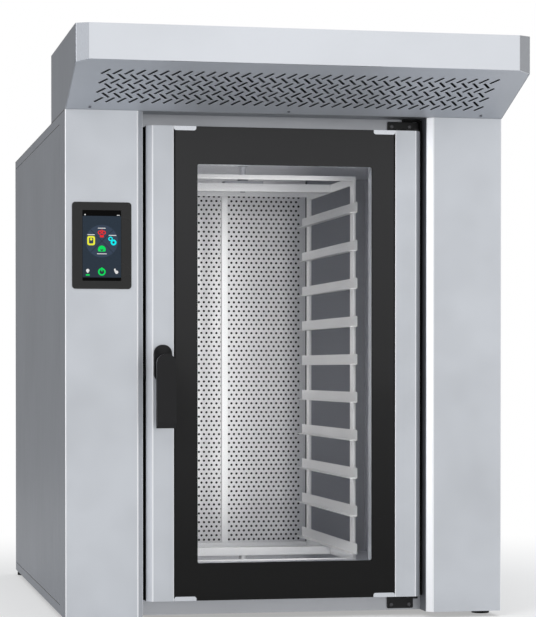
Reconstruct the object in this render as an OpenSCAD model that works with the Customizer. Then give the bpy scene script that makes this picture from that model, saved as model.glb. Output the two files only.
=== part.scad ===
// Rotating rack oven with steam hood.
// +Z is up, the door faces -Y and +X is to the right of someone facing the door.
// The sections below use Y = 0 at the front of the pillars and Z = 0 under the body;
// module stand() then moves every piece so that the origin is under the middle of the oven.

/* [Trays and rack] */
// Width of a baking tray
tray_w = 400; // [380:5:420]
// Length of a baking tray
tray_l = 600; // [580:5:620]
// Room between a tray and the runner web on each side
tray_clear = 2; // [1:0.5:6]
// Number of tray levels
levels = 10; // [6:1:12]
// Height from one level to the next
level_pitch = 83.8; // [70:0.2:95]
// Length of a runner
runner_l = 568; // [540:2:572]
// Height of a runner's upright web
runner_web = 23.5; // [14:0.5:28]
// Width of the flange that a tray stands on
runner_flange = 14; // [10:1:20]
// Sheet thickness of a runner
runner_t = 1.5; // [1:0.25:2.5]
// Distance from the front face of the front posts to the rear face of the rear posts
rack_frame_l = 483; // [460:1:510]
// Depth of a rack post
post_d = 30; // [20:1:34]
// Thickness of a rack post
post_t = 6; // [4:0.5:10]
// Height of the side and middle bars of the rack
bar_h = 18; // [14:1:26]
// Height of the front and rear bars of the rack
end_bar_h = 10; // [6:1:13]
// Depth of the front and rear bars of the rack
end_bar_d = 6; // [4:0.5:10]
// Depth of the middle bars, which carry the turning axis
mid_bar_d = 36; // [30:1:44]
// Width of the upright bar that stops the trays
stop_bar_w = 16; // [10:1:24]
// Space from the bottom bars to the lowest runner
first_level_gap = 2; // [2:1:20]
// Space from the highest runner to the top bars
last_level_gap = 40.8; // [20:0.2:60]

/* [Chamber] */
// Space between the turning trays and the chamber's side walls
swing_gap_side = 24.4; // [16:0.2:40]
// Space between the turning trays and the front bulkhead
swing_gap_front = 81.4; // [60:0.2:120]
// Space between the turning trays and the air diffuser
swing_gap_rear = 22.4; // [16:0.2:40]
// Space under the rack
rack_gap_floor = 27; // [20:0.5:40]
// Space above the rack
rack_gap_ceiling = 48; // [40:1:70]
// Sheet thickness of the chamber
chamber_t = 1.5; // [1:0.25:2.5]
// Depth of the fan space behind the air diffuser
plenum_d = 113.5; // [105:0.5:140]
// Width of the perforated middle panel of the diffuser
diffuser_w = 464; // [420:2:500]
// Width of the air slot on each side of the perforated panel
diffuser_slot = 4; // [3:0.5:8]

/* [Body] */
// Thickness of each insulated side, outer skin included
wall_side = 80; // [70:1:100]
// Height of the chamber floor above the underside of the body
floor_rise = 58.5; // [52:0.5:70]
// Height from the chamber ceiling to the top of the body
roof_rise = 56; // [50:1:70]
// Depth of the bay for motors and electrics at the back
rear_bay = 178.5; // [170:0.5:220]
// Thickness of the rear insulation
rear_insulation = 58; // [40:1:62]
// Sheet thickness of the outer panels
skin_t = 1.5; // [1:0.25:2.5]
// Flat width of each front pillar
pillar_w = 150; // [140:1:160]
// 45 degree chamfer on a pillar's inner edge
pillar_chamfer = 12; // [8:0.5:14]
// Depth of a pillar's outer return
pillar_return = 45; // [30:1:48]
// Width of the seams between outer panels
seam = 1.5; // [1:0.25:3]
// Height of the side frame under and over the side panel
trim_h = 19; // [14:1:24]
// Width of the side frame in front of and behind the side panel
trim_front = 64; // [40:1:90]
trim_back = 12; // [8:1:30]
// Height and width of the chassis tubes
rail_h = 18; // [14:1:24]
rail_w = 40; // [30:1:50]
// Wall thickness of the chassis tubes
rail_t = 2; // [1.5:0.5:3]
// Height of the feet
foot_h = 12; // [8:1:20]
// Radius of the feet
foot_r = 19; // [14:1:28]

/* [Door] */
// Set-back of the door's front behind the pillars
door_setback = 18; // [16:1:24]
// Thickness of the door
door_t = 38; // [35:1:44]
// Thickness of the gasket behind the door
gasket_t = 4; // [3:0.5:6]
// Gap between the door and each pillar
door_gap = 9; // [8:0.5:12]
// Height of the sill that shows under the door
sill_show = 32; // [30:1:40]
// Height of the lintel that shows over the door
lintel_show = 27; // [25:1:36]
// 45 degree chamfer on the door's outer edges
door_chamfer = 12; // [8:0.5:13]
// Flat front width of each steel profile of the door
profile_w = 45; // [40:1:56]
// Thickness of the door's steel
door_skin = 1.5; // [1:0.25:2]
// Thickness of the outer glass
glass_t = 6; // [4:0.5:8]
// Set-back of the outer glass behind the profiles
glass_setback = 2; // [1:0.5:4]
// Thickness of the inner glass
inner_glass_t = 4; // [3:0.5:6]
// Black border of the glass at each side of the window
window_side = 50; // [44:1:70]
// Black border of the glass over and under the window
window_end = 78; // [60:1:120]
// Width and height of a glass clip
clip_w = 47; // [30:1:60]
clip_h = 9; // [6:1:14]
// Thickness of a glass clip
clip_t = 1.5; // [1:0.25:1.8]
// Distance from the door's right edge to the hinge axis
hinge_in = 10; // [9:0.5:13]
// Distance from the door's front to the hinge axis
hinge_back = 14; // [13:0.5:16]
// Radius of the hinge pins
hinge_pin_r = 4; // [3:0.25:4.5]

/* [Door handle] */
// Height of the handle's spindle above the underside of the body
spindle_z = 526; // [420:2:640]
// Distance of the spindle from the door's left edge
spindle_in = 33; // [30:0.5:36]
// Radius of the spindle
spindle_r = 6; // [4:0.5:8]
// Width of the lever
lever_w = 40; // [30:1:44]
// Length of the lever below the spindle
lever_l = 133; // [90:1:160]
// Thickness of the lever
lever_t = 14; // [10:1:18]
// Space for fingers between the lever and the door
lever_stand = 44; // [26:1:50]
// Height of the rose on the door
rose_h = 78; // [60:1:90]
// Width of the rose
rose_w = 38; // [28:1:44]
// Thickness of the rose
rose_t = 9; // [5:1:14]

/* [Hood] */
// Distance that the hood reaches out in front of the pillars
hood_out = 207; // [160:1:240]
// Height of the hood above the body
hood_h = 146.4; // [135:0.2:180]
// Height of the hood's front lip
lip_h = 71; // [50:1:90]
// Depth of the hood behind the pillar front
hood_back = 275; // [250:1:320]
// Corner chamfer of the lip along X and along Y
lip_chamfer_x = 26; // [10:1:40]
lip_chamfer_y = 14; // [8:1:24]
// Number of rows of air slots in the underside
slot_rows = 7; // [3:1:8]
// Distance between two rows of slots
slot_row_pitch = 20.3; // [19:0.1:22]
// Distance between two slots of a row
slot_pitch = 23.6; // [21:0.2:30]
// Length and width of a slot
slot_l = 25; // [16:1:26]
slot_w = 5.5; // [3:0.5:6]
// Angle of the slots from the row
slot_angle = 52; // [40:1:60]
// Distance from the lip to the first row, along the slope
slot_start = 51.2; // [30:0.2:56]
// Outer radius of the exhaust duct
exhaust_r = 75; // [60:1:80]
// Height of the exhaust spigot above the hood
spigot_h = 40; // [25:1:45]

/* [Controls] */
// Width and height of the control panel
bezel_w = 122.5; // [100:1:126]
bezel_h = 178; // [150:1:220]
// Corner radius of the control panel
bezel_r = 7; // [3:0.5:12]
// Thickness by which the control panel stands on the pillar
bezel_t = 2; // [1:0.5:4]
// Width and height of the touch screen
screen_w = 80; // [70:1:90]
screen_h = 145; // [120:1:148]
// Distance from the pillar's outer edge to the control panel
bezel_in = 14; // [10:1:20]
// Distance from the top of the body to the control panel
bezel_drop = 189; // [120:1:300]

/* [Air and rack drives] */
// Radius and depth of a convection fan wheel
fan_r = 150; // [120:1:160]
fan_d = 70; // [50:1:76]
// Number of fan blades
fan_blades = 12; // [8:1:16]
// Radius of a fan shaft
fan_shaft_r = 8; // [6:0.5:10]
// Radius of a fan motor
motor_r = 65; // [50:1:75]
// Radius of the rack's drive shaft
drive_r = 7; // [6:0.5:12]
// Radius of the pivot pin under the rack
pivot_r = 6; // [5:0.5:9]
// Outer radius of the flue pipe
flue_r = 30; // [24:1:36]
// Height of the flue pipe above the body
flue_up = 70; // [60:1:80]

/* [Hidden] */
$fn = 48;

// Clearances
run_gap = 0.05;      // radial gap of a shaft in its bore
seat_gap = 0.2;      // gap between pieces that are welded or seated together
free_gap = 0.5;      // radial gap round a shaft that passes through a sheet

// Heights
floor_z = floor_rise;
rack_z = floor_z + rack_gap_floor;
level_z = rack_z + bar_h + first_level_gap;
top_bar_z = level_z + runner_web + (levels - 1) * level_pitch + last_level_gap;
rack_top_z = top_bar_z + bar_h;
ceiling_z = rack_top_z + rack_gap_ceiling;
body_h = ceiling_z + roof_rise;
hood_top_z = body_h + hood_h;
lip_z = hood_top_z - lip_h;
door_z = sill_show;
door_top_z = body_h - lintel_show;
door_h = door_top_z - door_z;
opening_z = door_z + window_end / 2;
opening_top_z = door_top_z - window_end / 2;

// Depths
bulkhead_y = door_setback + door_t + gasket_t;
swing_r = norm([tray_w / 2, tray_l / 2]);
rack_y = bulkhead_y + swing_gap_front + swing_r;
diffuser_y = rack_y + swing_r + swing_gap_rear;
rear_wall_y = diffuser_y + chamber_t + plenum_d;
body_d = rear_wall_y + chamber_t + rear_bay;
motor_plate_y = rear_wall_y + chamber_t + rear_insulation + 2 * seat_gap;
back_skin_y = body_d - skin_t;

// Widths
chamber_w = 2 * (swing_r + swing_gap_side);
body_w = chamber_w + 2 * wall_side;
inner_w = body_w - 2 * skin_t;
opening_between_pillars = body_w - 2 * (pillar_w + pillar_chamfer);
door_w = opening_between_pillars - 2 * door_gap;
glass_w = door_w - 2 * (door_chamfer + profile_w);
window_w = glass_w - 2 * window_side;
gate_w = door_w - 2 * (door_chamfer + profile_w / 2 + 4);
web_x = tray_w / 2 + tray_clear;
post_x = web_x + runner_t;

// Door pieces
glass_y = door_setback + glass_setback;
pan_y = glass_y + glass_t + seat_gap;
door_back_y = door_setback + door_t;
pan_x = door_w / 2 - door_skin - seat_gap;
pan_fold = pan_x - pan_y - (door_w / 2 - door_chamfer - door_setback) + door_skin * sqrt(2) + 2 * seat_gap;
hinge_x = door_w / 2 - hinge_in;
hinge_y = door_setback + hinge_back;
hinge_reach = 22;
hinge_tab_t = 4;
hinge_lift = 1.5;
bracket_w = 57;
bracket_side = 2.5;  // the plates end this far past the hinge axis
bracket_screw_in = 9;
bracket_screw_low = 8;
low_bracket_h = 27;
high_bracket_h = 21;
bracket_t = 3;
bracket_corner = 3;
clip_corner = 5;
edge_strip_w = 12;
edge_strip_t = 2.5;
spindle_x = -door_w / 2 + spindle_in;
lever_y = door_setback - lever_stand;
hook_t = 6;
hook_y = door_back_y - door_skin - seat_gap - hook_t - 4;
hook_r = spindle_in + 5;
keeper_drop = 11;
keeper_plate_t = 2;

// Hood
slope = [hood_out - skin_t, lip_z - body_h];
slope_l = norm(slope);
slope_angle = atan2(slope[1], slope[0]);
exhaust_y = 140;
exhaust_t = 1.5;
duct_r = exhaust_r + 1;
flange_r = exhaust_r + 16;
neck_in = 0.2;       // the neck under a spigot's free length lies this much inside it
neck_h = 1;
blower_lift = 26;
blower_r = 38;
blower_shaft_r = 5;
impeller_hub_r = 24;
impeller_hub_h = 36;
blade_angle = 28;
blade_w = 28;
screw_r = 4;
hood_screw_r = 3;
screw_t = 2;
hood_screw_l = 206;
lip_side = 10;

// Drives
fan_z = [floor_z + 0.27 * (ceiling_z - floor_z), floor_z + 0.73 * (ceiling_z - floor_z)];
fan_front = 18;
motor_l = 88;
heater_r = 5;
heater_ring_r = fan_r + 18;
pipe_x = 250;
flue_y = diffuser_y + chamber_t + plenum_d / 2;
flue_t = 1.5;
flue_body_r = flue_r + 1;
outlet_l = 24;
flap_z = body_h + flue_up / 2;
flap_spindle_r = 4;
gear_l = 110;
gear_w = 96;
gear_tail = 62;
gear_h = 58;
gear_motor_r = 31;
gear_motor_back = 30;
gear_cap_l = 14;
gear_box_l = 50;
gear_box_h = 24;
bearing_h = 22;
seal_h = 9;
seal_wall = 4;
hanger_h = 19;
pin_end = 1.5;

// Rear connections
water_x = -330;
water_z = 160;
water_r = 10;
water_socket_l = 18;
steam_r = 6;
steam_t = 1.5;
steam_l = 210;
wiring_w = 170;
wiring_h = 270;
wiring_d = 70;
wiring_side = 60;
wiring_rise = 60;
drain_x = -120;
drain_r = 16;
drain_t = 2;
drain_socket_l = 20;
gland_x = 330;
gland_z = 130;
gland_r = 13;
port_l = 40;

// Moves a piece from the drawing frame to the row frame
module stand() {
    translate([0, -(body_d - hood_out) / 2, foot_h]) children();
}

// A box from its lowest to its highest corner
module block(low, high) {
    translate(low) cube(high - low);
}

// Cylinder whose axis runs along +Y from a point
module along_y(p, r, l) {
    translate(p) rotate([-90, 0, 0]) cylinder(r = r, h = l);
}

// Cylinder whose axis runs along +X from a point
module along_x(p, r, l) {
    translate(p) rotate([0, 90, 0]) cylinder(r = r, h = l);
}

// Points of an open line moved sideways by t, with mitred corners
function unit(v) = v / norm(v);
function normal(a, b) = let (d = unit(b - a)) [-d[1], d[0]];
function side_step(line, i) =
    let (n = len(line),
        before = normal(line[max(i - 1, 0)], line[max(i, 1)]),
        after = normal(line[min(i, n - 2)], line[min(i + 1, n - 1)]),
        middle = unit(before + after))
    middle / (middle * after);
function moved(line, t) = [for (i = [0:len(line) - 1]) line[i] + t * side_step(line, i)];

// Folded sheet: an open line given thickness t to its left and height h
module folded(line, t, h) {
    other = moved(line, t);
    back = [for (i = [len(line) - 1:-1:0]) other[i]];
    linear_extrude(height = h) polygon(concat(line, back));
}

// Plate in the XZ plane with round corners
module rounded_plate(w, h, r, t) {
    translate([0, t, 0]) rotate([90, 0, 0]) linear_extrude(height = t) union() {
        square([w - 2 * r, h], center = true);
        square([w, h - 2 * r], center = true);
        for (x = [-1, 1], z = [-1, 1])
            translate([x * (w / 2 - r), z * (h / 2 - r)]) circle(r = r);
    }
}

// ---- chassis and outer panels ----

module foot(x, y) {
    translate([x, y, -foot_h]) union() {
        cylinder(r = foot_r, h = foot_h - 4);
        cylinder(r = foot_r * 0.6, h = foot_h);
    }
}

module feet() {
    color([0.12, 0.12, 0.13]) for (side = [-1, 1], y = [bulkhead_y + skin_t + foot_r, back_skin_y - foot_r])
        foot(side * (inner_w / 2 - foot_r - 1), y);
}

module rail_x(x0, x1, y, z) {
    difference() {
        block([x0, y, z], [x1, y + rail_w, z + rail_h]);
        block([x0 - 1, y + rail_t, z + rail_t], [x1 + 1, y + rail_w - rail_t, z + rail_h - rail_t]);
    }
}

module rail_y(x, y0, y1, z) {
    difference() {
        block([x, y0, z], [x + rail_w, y1, z + rail_h]);
        block([x + rail_t, y0 - 1, z + rail_t], [x + rail_w - rail_t, y1 + 1, z + rail_h - rail_t]);
    }
}

module corner_post(x) {
    y0 = back_skin_y - seat_gap - rail_w;
    difference() {
        block([x, y0, rail_h + seat_gap], [x + rail_w, y0 + rail_w, body_h - skin_t - rail_h - seat_gap]);
        block([x + rail_t, y0 + rail_t, rail_h - 1],
            [x + rail_w - rail_t, y0 + rail_w - rail_t, body_h - skin_t - rail_h + 1]);
    }
}

module chassis_frame() {
    y0 = bulkhead_y + skin_t + seat_gap;
    y1 = back_skin_y - seat_gap;
    x0 = inner_w / 2 - seat_gap;
    cross_x = x0 - rail_w - seat_gap;
    color([0.45, 0.46, 0.48]) {
        for (z = [0, body_h - skin_t - rail_h - seat_gap]) {
            rail_y(-x0, y0, y1, z);
            rail_y(x0 - rail_w, y0, y1, z);
            rail_x(-cross_x, cross_x, y1 - rail_w, z);
        }
        for (i = [0:2])
            rail_x(-cross_x, cross_x, y0 + i * (y1 - y0 - rail_w) / 3, 0);
        corner_post(-x0);
        corner_post(x0 - rail_w);
    }
}

// Front pillar on the right; the left one is its mirror
module pillar_shape() {
    x1 = body_w / 2;
    x0 = x1 - pillar_w;
    folded([[x0 - pillar_chamfer, bulkhead_y], [x0 - pillar_chamfer, pillar_chamfer], [x0, 0], [x1, 0],
        [x1, pillar_return]], skin_t, body_h);
}

module pillar_right() {
    color([0.75, 0.76, 0.78]) pillar_shape();
}

module pillar_left() {
    color([0.75, 0.76, 0.78]) difference() {
        mirror([1, 0, 0]) pillar_shape();
        translate([bezel_x, -1, bezel_z]) rounded_plate(screen_w, screen_h, 2, skin_t + 2);
    }
}

// Side panel on the right in the frame that surrounds it
module side_shape() {
    x0 = inner_w / 2;
    x1 = body_w / 2;
    y0 = pillar_return + seam;
    y1 = y0 + trim_front;
    y2 = body_d - trim_back;
    difference() {
        block([x0, y0, 0], [x1, body_d, body_h]);
        block([x0 - 1, y1, trim_h], [x1 + 1, y2, body_h - trim_h]);
    }
    block([x0, y1 + seam, trim_h + seam], [x1, y2 - seam, body_h - trim_h - seam]);
}

module side_panel_right() {
    color([0.55, 0.56, 0.58]) side_shape();
}

module side_panel_left() {
    color([0.55, 0.56, 0.58]) mirror([1, 0, 0]) side_shape();
}

module vent_field(x, z, rows) {
    for (i = [0:rows - 1])
        block([x - 60, back_skin_y - 1, z + i * 16], [x + 60, body_d + 1, z + i * 16 + 6]);
}

module back_panel() {
    color([0.6, 0.61, 0.63]) difference() {
        block([-inner_w / 2 + seat_gap, back_skin_y, 0], [inner_w / 2 - seat_gap, body_d, body_h - skin_t]);
        for (x = [-200, 200], z = fan_z) vent_field(x, z - 60, 8);
        along_y([water_x, back_skin_y - 1, water_z], water_r + 4 + seat_gap, skin_t + 2);
        along_y([drain_x, back_skin_y - 1, drain_z()], drain_r + seat_gap, skin_t + 2);
        along_y([gland_x, back_skin_y - 1, gland_z], gland_r + 4 + seat_gap, skin_t + 2);
    }
}

module roof_panel() {
    color([0.62, 0.63, 0.65]) difference() {
        block([-inner_w / 2 + seat_gap, bulkhead_y + skin_t + seat_gap, body_h - skin_t],
            [inner_w / 2 - seat_gap, body_d, body_h]);
        translate([0, rack_y, body_h - skin_t - 1]) cylinder(r = drive_r + free_gap, h = skin_t + 2);
        translate([pipe_x, flue_y, body_h - skin_t - 1]) cylinder(r = flue_body_r + seat_gap, h = skin_t + 2);
    }
}

// ---- door surround ----

module front_bulkhead() {
    color([0.62, 0.63, 0.65]) difference() {
        block([-inner_w / 2 + seat_gap, bulkhead_y, 0],
            [inner_w / 2 - seat_gap, bulkhead_y + skin_t, body_h]);
        block([-gate_w / 2, bulkhead_y - 1, opening_z], [gate_w / 2, bulkhead_y + skin_t + 1, opening_top_z]);
    }
}

module door_gasket() {
    lip = 10;
    color([0.05, 0.05, 0.05]) {
        difference() {
            block([-gate_w / 2 - lip, door_back_y + seat_gap, opening_z - lip],
                [gate_w / 2 + lip, bulkhead_y, opening_top_z + lip]);
            block([-gate_w / 2, door_back_y - 1, opening_z], [gate_w / 2, bulkhead_y + 1, opening_top_z]);
        }
        latch_side_strip();
    }
}

// Black strip on the bulkhead behind the gap at the door's latch side
module latch_side_strip() {
    x0 = -opening_between_pillars / 2 + keeper_plate_t + 2 * seat_gap;
    block([x0, bulkhead_y - edge_strip_t, door_z], [x0 + edge_strip_w, bulkhead_y, door_top_z]);
}

// Black strip along the hinge side that turns over the door's top corner
module hinge_side_seal() {
    r = 10;
    w = 4;
    y0 = pillar_return;
    x1 = opening_between_pillars / 2 - seat_gap;
    z1 = body_h - seat_gap;
    d = bulkhead_y - y0;
    color([0.04, 0.04, 0.04]) union() {
        block([x1 - w, y0, door_z], [x1, bulkhead_y, z1 - r]);
        block([hinge_x - hinge_reach, y0, z1 - w], [x1 - r, bulkhead_y, z1]);
        translate([x1 - r, bulkhead_y, z1 - r]) rotate([90, 0, 0]) rotate_extrude(angle = 90)
            translate([r - w, 0]) square([w, d]);
    }
}

// Bracket with its plate on the bulkhead and its tab in line with the hinge axis
module hinge_bracket(z_tab, z_plate, plate_h, z_screw) {
    x1 = hinge_x + bracket_side;
    y1 = bulkhead_y - seat_gap;
    difference() {
        union() {
            translate([x1 - bracket_w / 2, y1 - bracket_t, z_plate + plate_h / 2])
                rounded_plate(bracket_w, plate_h, bracket_corner, bracket_t);
            block([hinge_x - hinge_reach, hinge_y, z_tab], [x1, y1, z_tab + hinge_tab_t]);
            translate([hinge_x, hinge_y, z_tab]) cylinder(r = hinge_pin_r + 2, h = hinge_tab_t);
        }
        translate([hinge_x, hinge_y, z_tab - 1]) cylinder(r = hinge_pin_r + run_gap, h = hinge_tab_t + 2);
        for (x = screw_xs())
            along_y([x, y1 - bracket_t - 1, z_screw], 2.5, bracket_t + 2);
    }
}

function screw_xs() = [for (e = [-bracket_w + bracket_screw_in, -bracket_screw_in]) hinge_x + bracket_side + e];
function screw_zs() = [low_plate_z() + bracket_screw_low, high_plate_z() + high_bracket_h / 2];
function low_tab_z() = door_z - hinge_lift - hinge_tab_t;
function high_tab_z() = door_top_z + hinge_lift;
function low_plate_z() = door_z - hinge_lift - low_bracket_h;
function high_plate_z() = door_top_z + hinge_lift;

module hinge_brackets() {
    color([0.06, 0.06, 0.07]) {
        hinge_bracket(low_tab_z(), low_plate_z(), low_bracket_h, screw_zs()[0]);
        hinge_bracket(high_tab_z(), high_plate_z(), high_bracket_h, screw_zs()[1]);
    }
}

pin_in_door = 26;

module hinge_pins() {
    color([0.3, 0.3, 0.32]) {
        translate([hinge_x, hinge_y, low_tab_z()])
            cylinder(r = hinge_pin_r, h = hinge_tab_t + hinge_lift + pin_in_door);
        translate([hinge_x, hinge_y, door_top_z - pin_in_door])
            cylinder(r = hinge_pin_r, h = hinge_tab_t + hinge_lift + pin_in_door);
    }
}

// Screws of the hinge brackets and of the hood's underside
module fixing_screws() {
    y = bulkhead_y - seat_gap - bracket_t;
    color([0.5, 0.5, 0.52]) {
        for (x = screw_xs(), z = screw_zs())
            translate([x, y, z]) rotate([90, 0, 0]) union() {
                cylinder(r = screw_r, h = screw_t);
                translate([0, 0, -bracket_t + seat_gap]) cylinder(r = 2.2, h = bracket_t);
            }
        on_slope() for (x = [-1, 0, 1])
            translate([x * (inner_w / 2 - 48), hood_screw_l, -screw_t])
                cylinder(r = hood_screw_r, h = screw_t - seat_gap / 2);
    }
}

// Keeper on the left pillar; at rest the hook stands level with the space over it
module latch_keeper() {
    x0 = -opening_between_pillars / 2 + seat_gap;
    z1 = spindle_z - keeper_drop;
    color([0.5, 0.5, 0.52]) union() {
        block([x0, hook_y - 8, z1 - 30], [x0 + keeper_plate_t, bulkhead_y - seat_gap, z1 + 30]);
        block([x0 + 1, hook_y - 8, z1 - 20], [x0 + door_gap - 2, hook_y - 1.5, z1]);
    }
}

// ---- chamber ----

module chamber_shell() {
    x1 = chamber_w / 2;
    y0 = bulkhead_y + skin_t + seat_gap;
    y1 = rear_wall_y + chamber_t;
    zf = floor_z - chamber_t;
    color([0.5, 0.5, 0.52]) {
        difference() {
            block([-x1 - chamber_t, y0, zf], [x1 + chamber_t, y1, floor_z]);
            translate([drain_x, flue_y, zf - 1]) cylinder(r = drain_r + seat_gap, h = chamber_t + 2);
        }
        difference() {
            block([-x1 - chamber_t, y0, ceiling_z], [x1 + chamber_t, y1, ceiling_z + chamber_t]);
            translate([0, rack_y, ceiling_z - 1]) cylinder(r = drive_r + free_gap, h = chamber_t + 2);
            translate([pipe_x, flue_y, ceiling_z - 1]) cylinder(r = flue_body_r + seat_gap, h = chamber_t + 2);
        }
        for (side = [-1, 1]) difference() {
            block([min(side * x1, side * (x1 + chamber_t)), y0, floor_z + seat_gap],
                [max(side * x1, side * (x1 + chamber_t)), y1, ceiling_z - seat_gap]);
            along_x([side * x1 - 3 * chamber_t, lamp_y(), lamp_z()], lamp_r + seat_gap, 6 * chamber_t);
        }
        difference() {
            block([-x1 + seat_gap, rear_wall_y, floor_z + seat_gap],
                [x1 - seat_gap, y1, ceiling_z - seat_gap]);
            rear_holes(rear_wall_y - 1, chamber_t + 2);
        }
    }
}

// Everything that passes through the rear wall and its insulation
module rear_holes(y, l) {
    for (z = fan_z) {
        along_y([0, y, z], fan_shaft_r + free_gap, l);
        for (x = heater_legs()) along_y([x, y, z - heater_ring_r], heater_r + seat_gap, l);
    }
    along_y([0, y, probe_z()], probe_r + seat_gap, l);
    along_y([water_x, y, water_z], steam_r + seat_gap, l);
}

function heater_legs() = [-14, 14];
function probe_z() = (fan_z[0] + fan_z[1]) / 2;
function lamp_y() = bulkhead_y + 60;
function lamp_z() = (floor_z + ceiling_z) / 2;
function drain_z() = rail_h + drain_r + 1;
probe_r = 3;
lamp_r = 30;
diffuser_flange = 20;

module air_diffuser() {
    w = diffuser_w / 2;
    color([0.8, 0.8, 0.8]) translate([0, 0, floor_z + seat_gap])
        folded([[-w, diffuser_y + diffuser_flange], [-w, diffuser_y], [w, diffuser_y],
            [w, diffuser_y + diffuser_flange]], chamber_t, ceiling_z - floor_z - 2 * seat_gap);
}

module duct_side_panels() {
    x0 = diffuser_w / 2 + diffuser_slot;
    x1 = chamber_w / 2 - seat_gap;
    color([0.35, 0.36, 0.37]) for (side = [-1, 1])
        block([min(side * x0, side * x1), diffuser_y, floor_z + seat_gap],
            [max(side * x0, side * x1), diffuser_y + chamber_t, ceiling_z - seat_gap]);
}

// Slabs of mineral wool between the chamber and the panels
module insulation() {
    x1 = chamber_w / 2 + chamber_t + seat_gap;
    x2 = inner_w / 2 - seat_gap;
    y0 = bulkhead_y + skin_t + seat_gap;
    y1 = rear_wall_y + chamber_t;
    z0 = rail_h + seat_gap;
    z1 = body_h - skin_t - rail_h - 2 * seat_gap;
    roof_z = ceiling_z + chamber_t + seat_gap;
    color([0.75, 0.7, 0.5]) {
        for (side = [-1, 1]) difference() {
            block([min(side * x1, side * x2), y0, z0], [max(side * x1, side * x2), y1, z1]);
            along_x([side * (x1 + x2) / 2 - wall_side, lamp_y(), lamp_z()], lamp_r + seat_gap, 2 * wall_side);
        }
        difference() {
            block([-x1 + seat_gap, y0, z0], [x1 - seat_gap, y1, floor_z - chamber_t - seat_gap]);
            drain_hole();
        }
        difference() {
            block([-x1 + seat_gap, y0, roof_z], [x1 - seat_gap, y1, body_h - skin_t - seat_gap]);
            translate([0, rack_y, ceiling_z]) cylinder(r = drive_r + 2, h = roof_rise);
            translate([pipe_x, flue_y, ceiling_z]) cylinder(r = flue_body_r + seat_gap, h = roof_rise);
        }
        difference() {
            block([-x1, y1 + seat_gap, z0], [x1, y1 + seat_gap + rear_insulation, z1]);
            rear_holes(y1, rear_insulation + 2);
            along_y([drain_x, y1, drain_z()], drain_r + seat_gap, rear_insulation + 2);
        }
    }
}

module drain_hole() {
    translate([drain_x, flue_y, 0]) cylinder(r = drain_r + seat_gap, h = floor_z);
    along_y([drain_x, flue_y, drain_z()], drain_r + seat_gap, plenum_d);
}

module motor_plate() {
    x1 = inner_w / 2 - 2 * seat_gap;
    z0 = rail_h + seat_gap;
    z1 = body_h - skin_t - rail_h - 2 * seat_gap;
    color([0.6, 0.61, 0.63]) difference() {
        block([-x1, motor_plate_y, z0], [x1, motor_plate_y + skin_t, z1]);
        rear_holes(motor_plate_y - 1, skin_t + 2);
        along_y([drain_x, motor_plate_y - 1, drain_z()], drain_r + seat_gap, skin_t + 2);
    }
}

module fan_motors() {
    y0 = motor_plate_y + skin_t;
    color([0.25, 0.26, 0.28]) for (z = fan_z) difference() {
        union() {
            along_y([0, y0, z], motor_r + 12, 4);
            along_y([0, y0, z], motor_r, motor_l);
            for (i = [0:4]) along_y([0, y0 + 14 + i * 14, z], motor_r + 4, 3);
            block([-30, y0 + 10, z + motor_r - 6], [30, y0 + motor_l - 14, z + motor_r + 14]);
        }
        along_y([0, y0 - 1, z], fan_shaft_r + run_gap, motor_l - 20);
    }
}

module heater_rings() {
    y0 = diffuser_y + chamber_t + fan_front + 10;
    leg_l = motor_plate_y + skin_t - y0 + 12;
    color([0.35, 0.33, 0.32]) for (z = fan_z) union() {
        for (i = [0:2]) translate([0, y0 + i * 22, z]) rotate([-90, 0, 0])
            rotate_extrude() translate([heater_ring_r, 0]) circle(r = heater_r);
        for (x = heater_legs()) along_y([x, y0, z - heater_ring_r], heater_r, leg_l);
    }
}

module chamber_lamps() {
    color([0.9, 0.88, 0.8]) for (side = [-1, 1]) {
        x0 = side > 0 ? chamber_w / 2 - 4 : -chamber_w / 2 + 4 - 54;
        along_x([x0, lamp_y(), lamp_z()], lamp_r, 54);
    }
}

module temperature_probe() {
    y0 = diffuser_y + chamber_t + 30;
    y1 = motor_plate_y + skin_t;
    color([0.7, 0.7, 0.72]) union() {
        along_y([0, y0, probe_z()], probe_r, y1 + 14 - y0);
        along_y([0, y1, probe_z()], 9, 14);
    }
}

// Spray pipe from the water inlet to the front of the lower fan
module steam_pipe() {
    y0 = diffuser_y + diffuser_flange + steam_r + 4;
    color([0.72, 0.45, 0.3]) difference() {
        union() {
            along_y([water_x, y0, water_z], steam_r, back_skin_y - port_l - y0);
            along_x([water_x, y0, water_z], steam_r, steam_l);
            translate([water_x, y0, water_z]) sphere(r = steam_r);
        }
        along_x([water_x, y0, water_z], steam_r - steam_t, steam_l + 10);
    }
}

module water_inlet() {
    y0 = back_skin_y - port_l + seat_gap;
    color([0.75, 0.62, 0.3]) difference() {
        union() {
            along_y([water_x, y0, water_z], water_r + 4, body_d - y0);
            along_y([water_x, back_skin_y - 8, water_z], water_r + 9, 8 - seat_gap);
            block([water_x - 16, y0, water_z], [water_x + 16, y0 + 26, water_z + 44]);
        }
        along_y([water_x, body_d - water_socket_l, water_z], water_r, water_socket_l + 1);
    }
}

module drain_pipe() {
    z = drain_z();
    color([0.6, 0.6, 0.62]) difference() {
        union() {
            translate([drain_x, flue_y, z]) cylinder(r = drain_r, h = floor_z - z);
            translate([drain_x, flue_y, z]) sphere(r = drain_r);
            along_y([drain_x, flue_y, z], drain_r, body_d - flue_y);
        }
        translate([drain_x, flue_y, z]) cylinder(r = drain_r - drain_t, h = floor_z - z + 1);
        translate([drain_x, flue_y, z]) sphere(r = drain_r - drain_t);
        along_y([drain_x, flue_y, z], drain_r - drain_t, body_d - flue_y + 1);
        along_y([drain_x, body_d - drain_socket_l, z], drain_r - drain_t / 2, drain_socket_l + 1);
    }
}

// ---- flue ----

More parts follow.
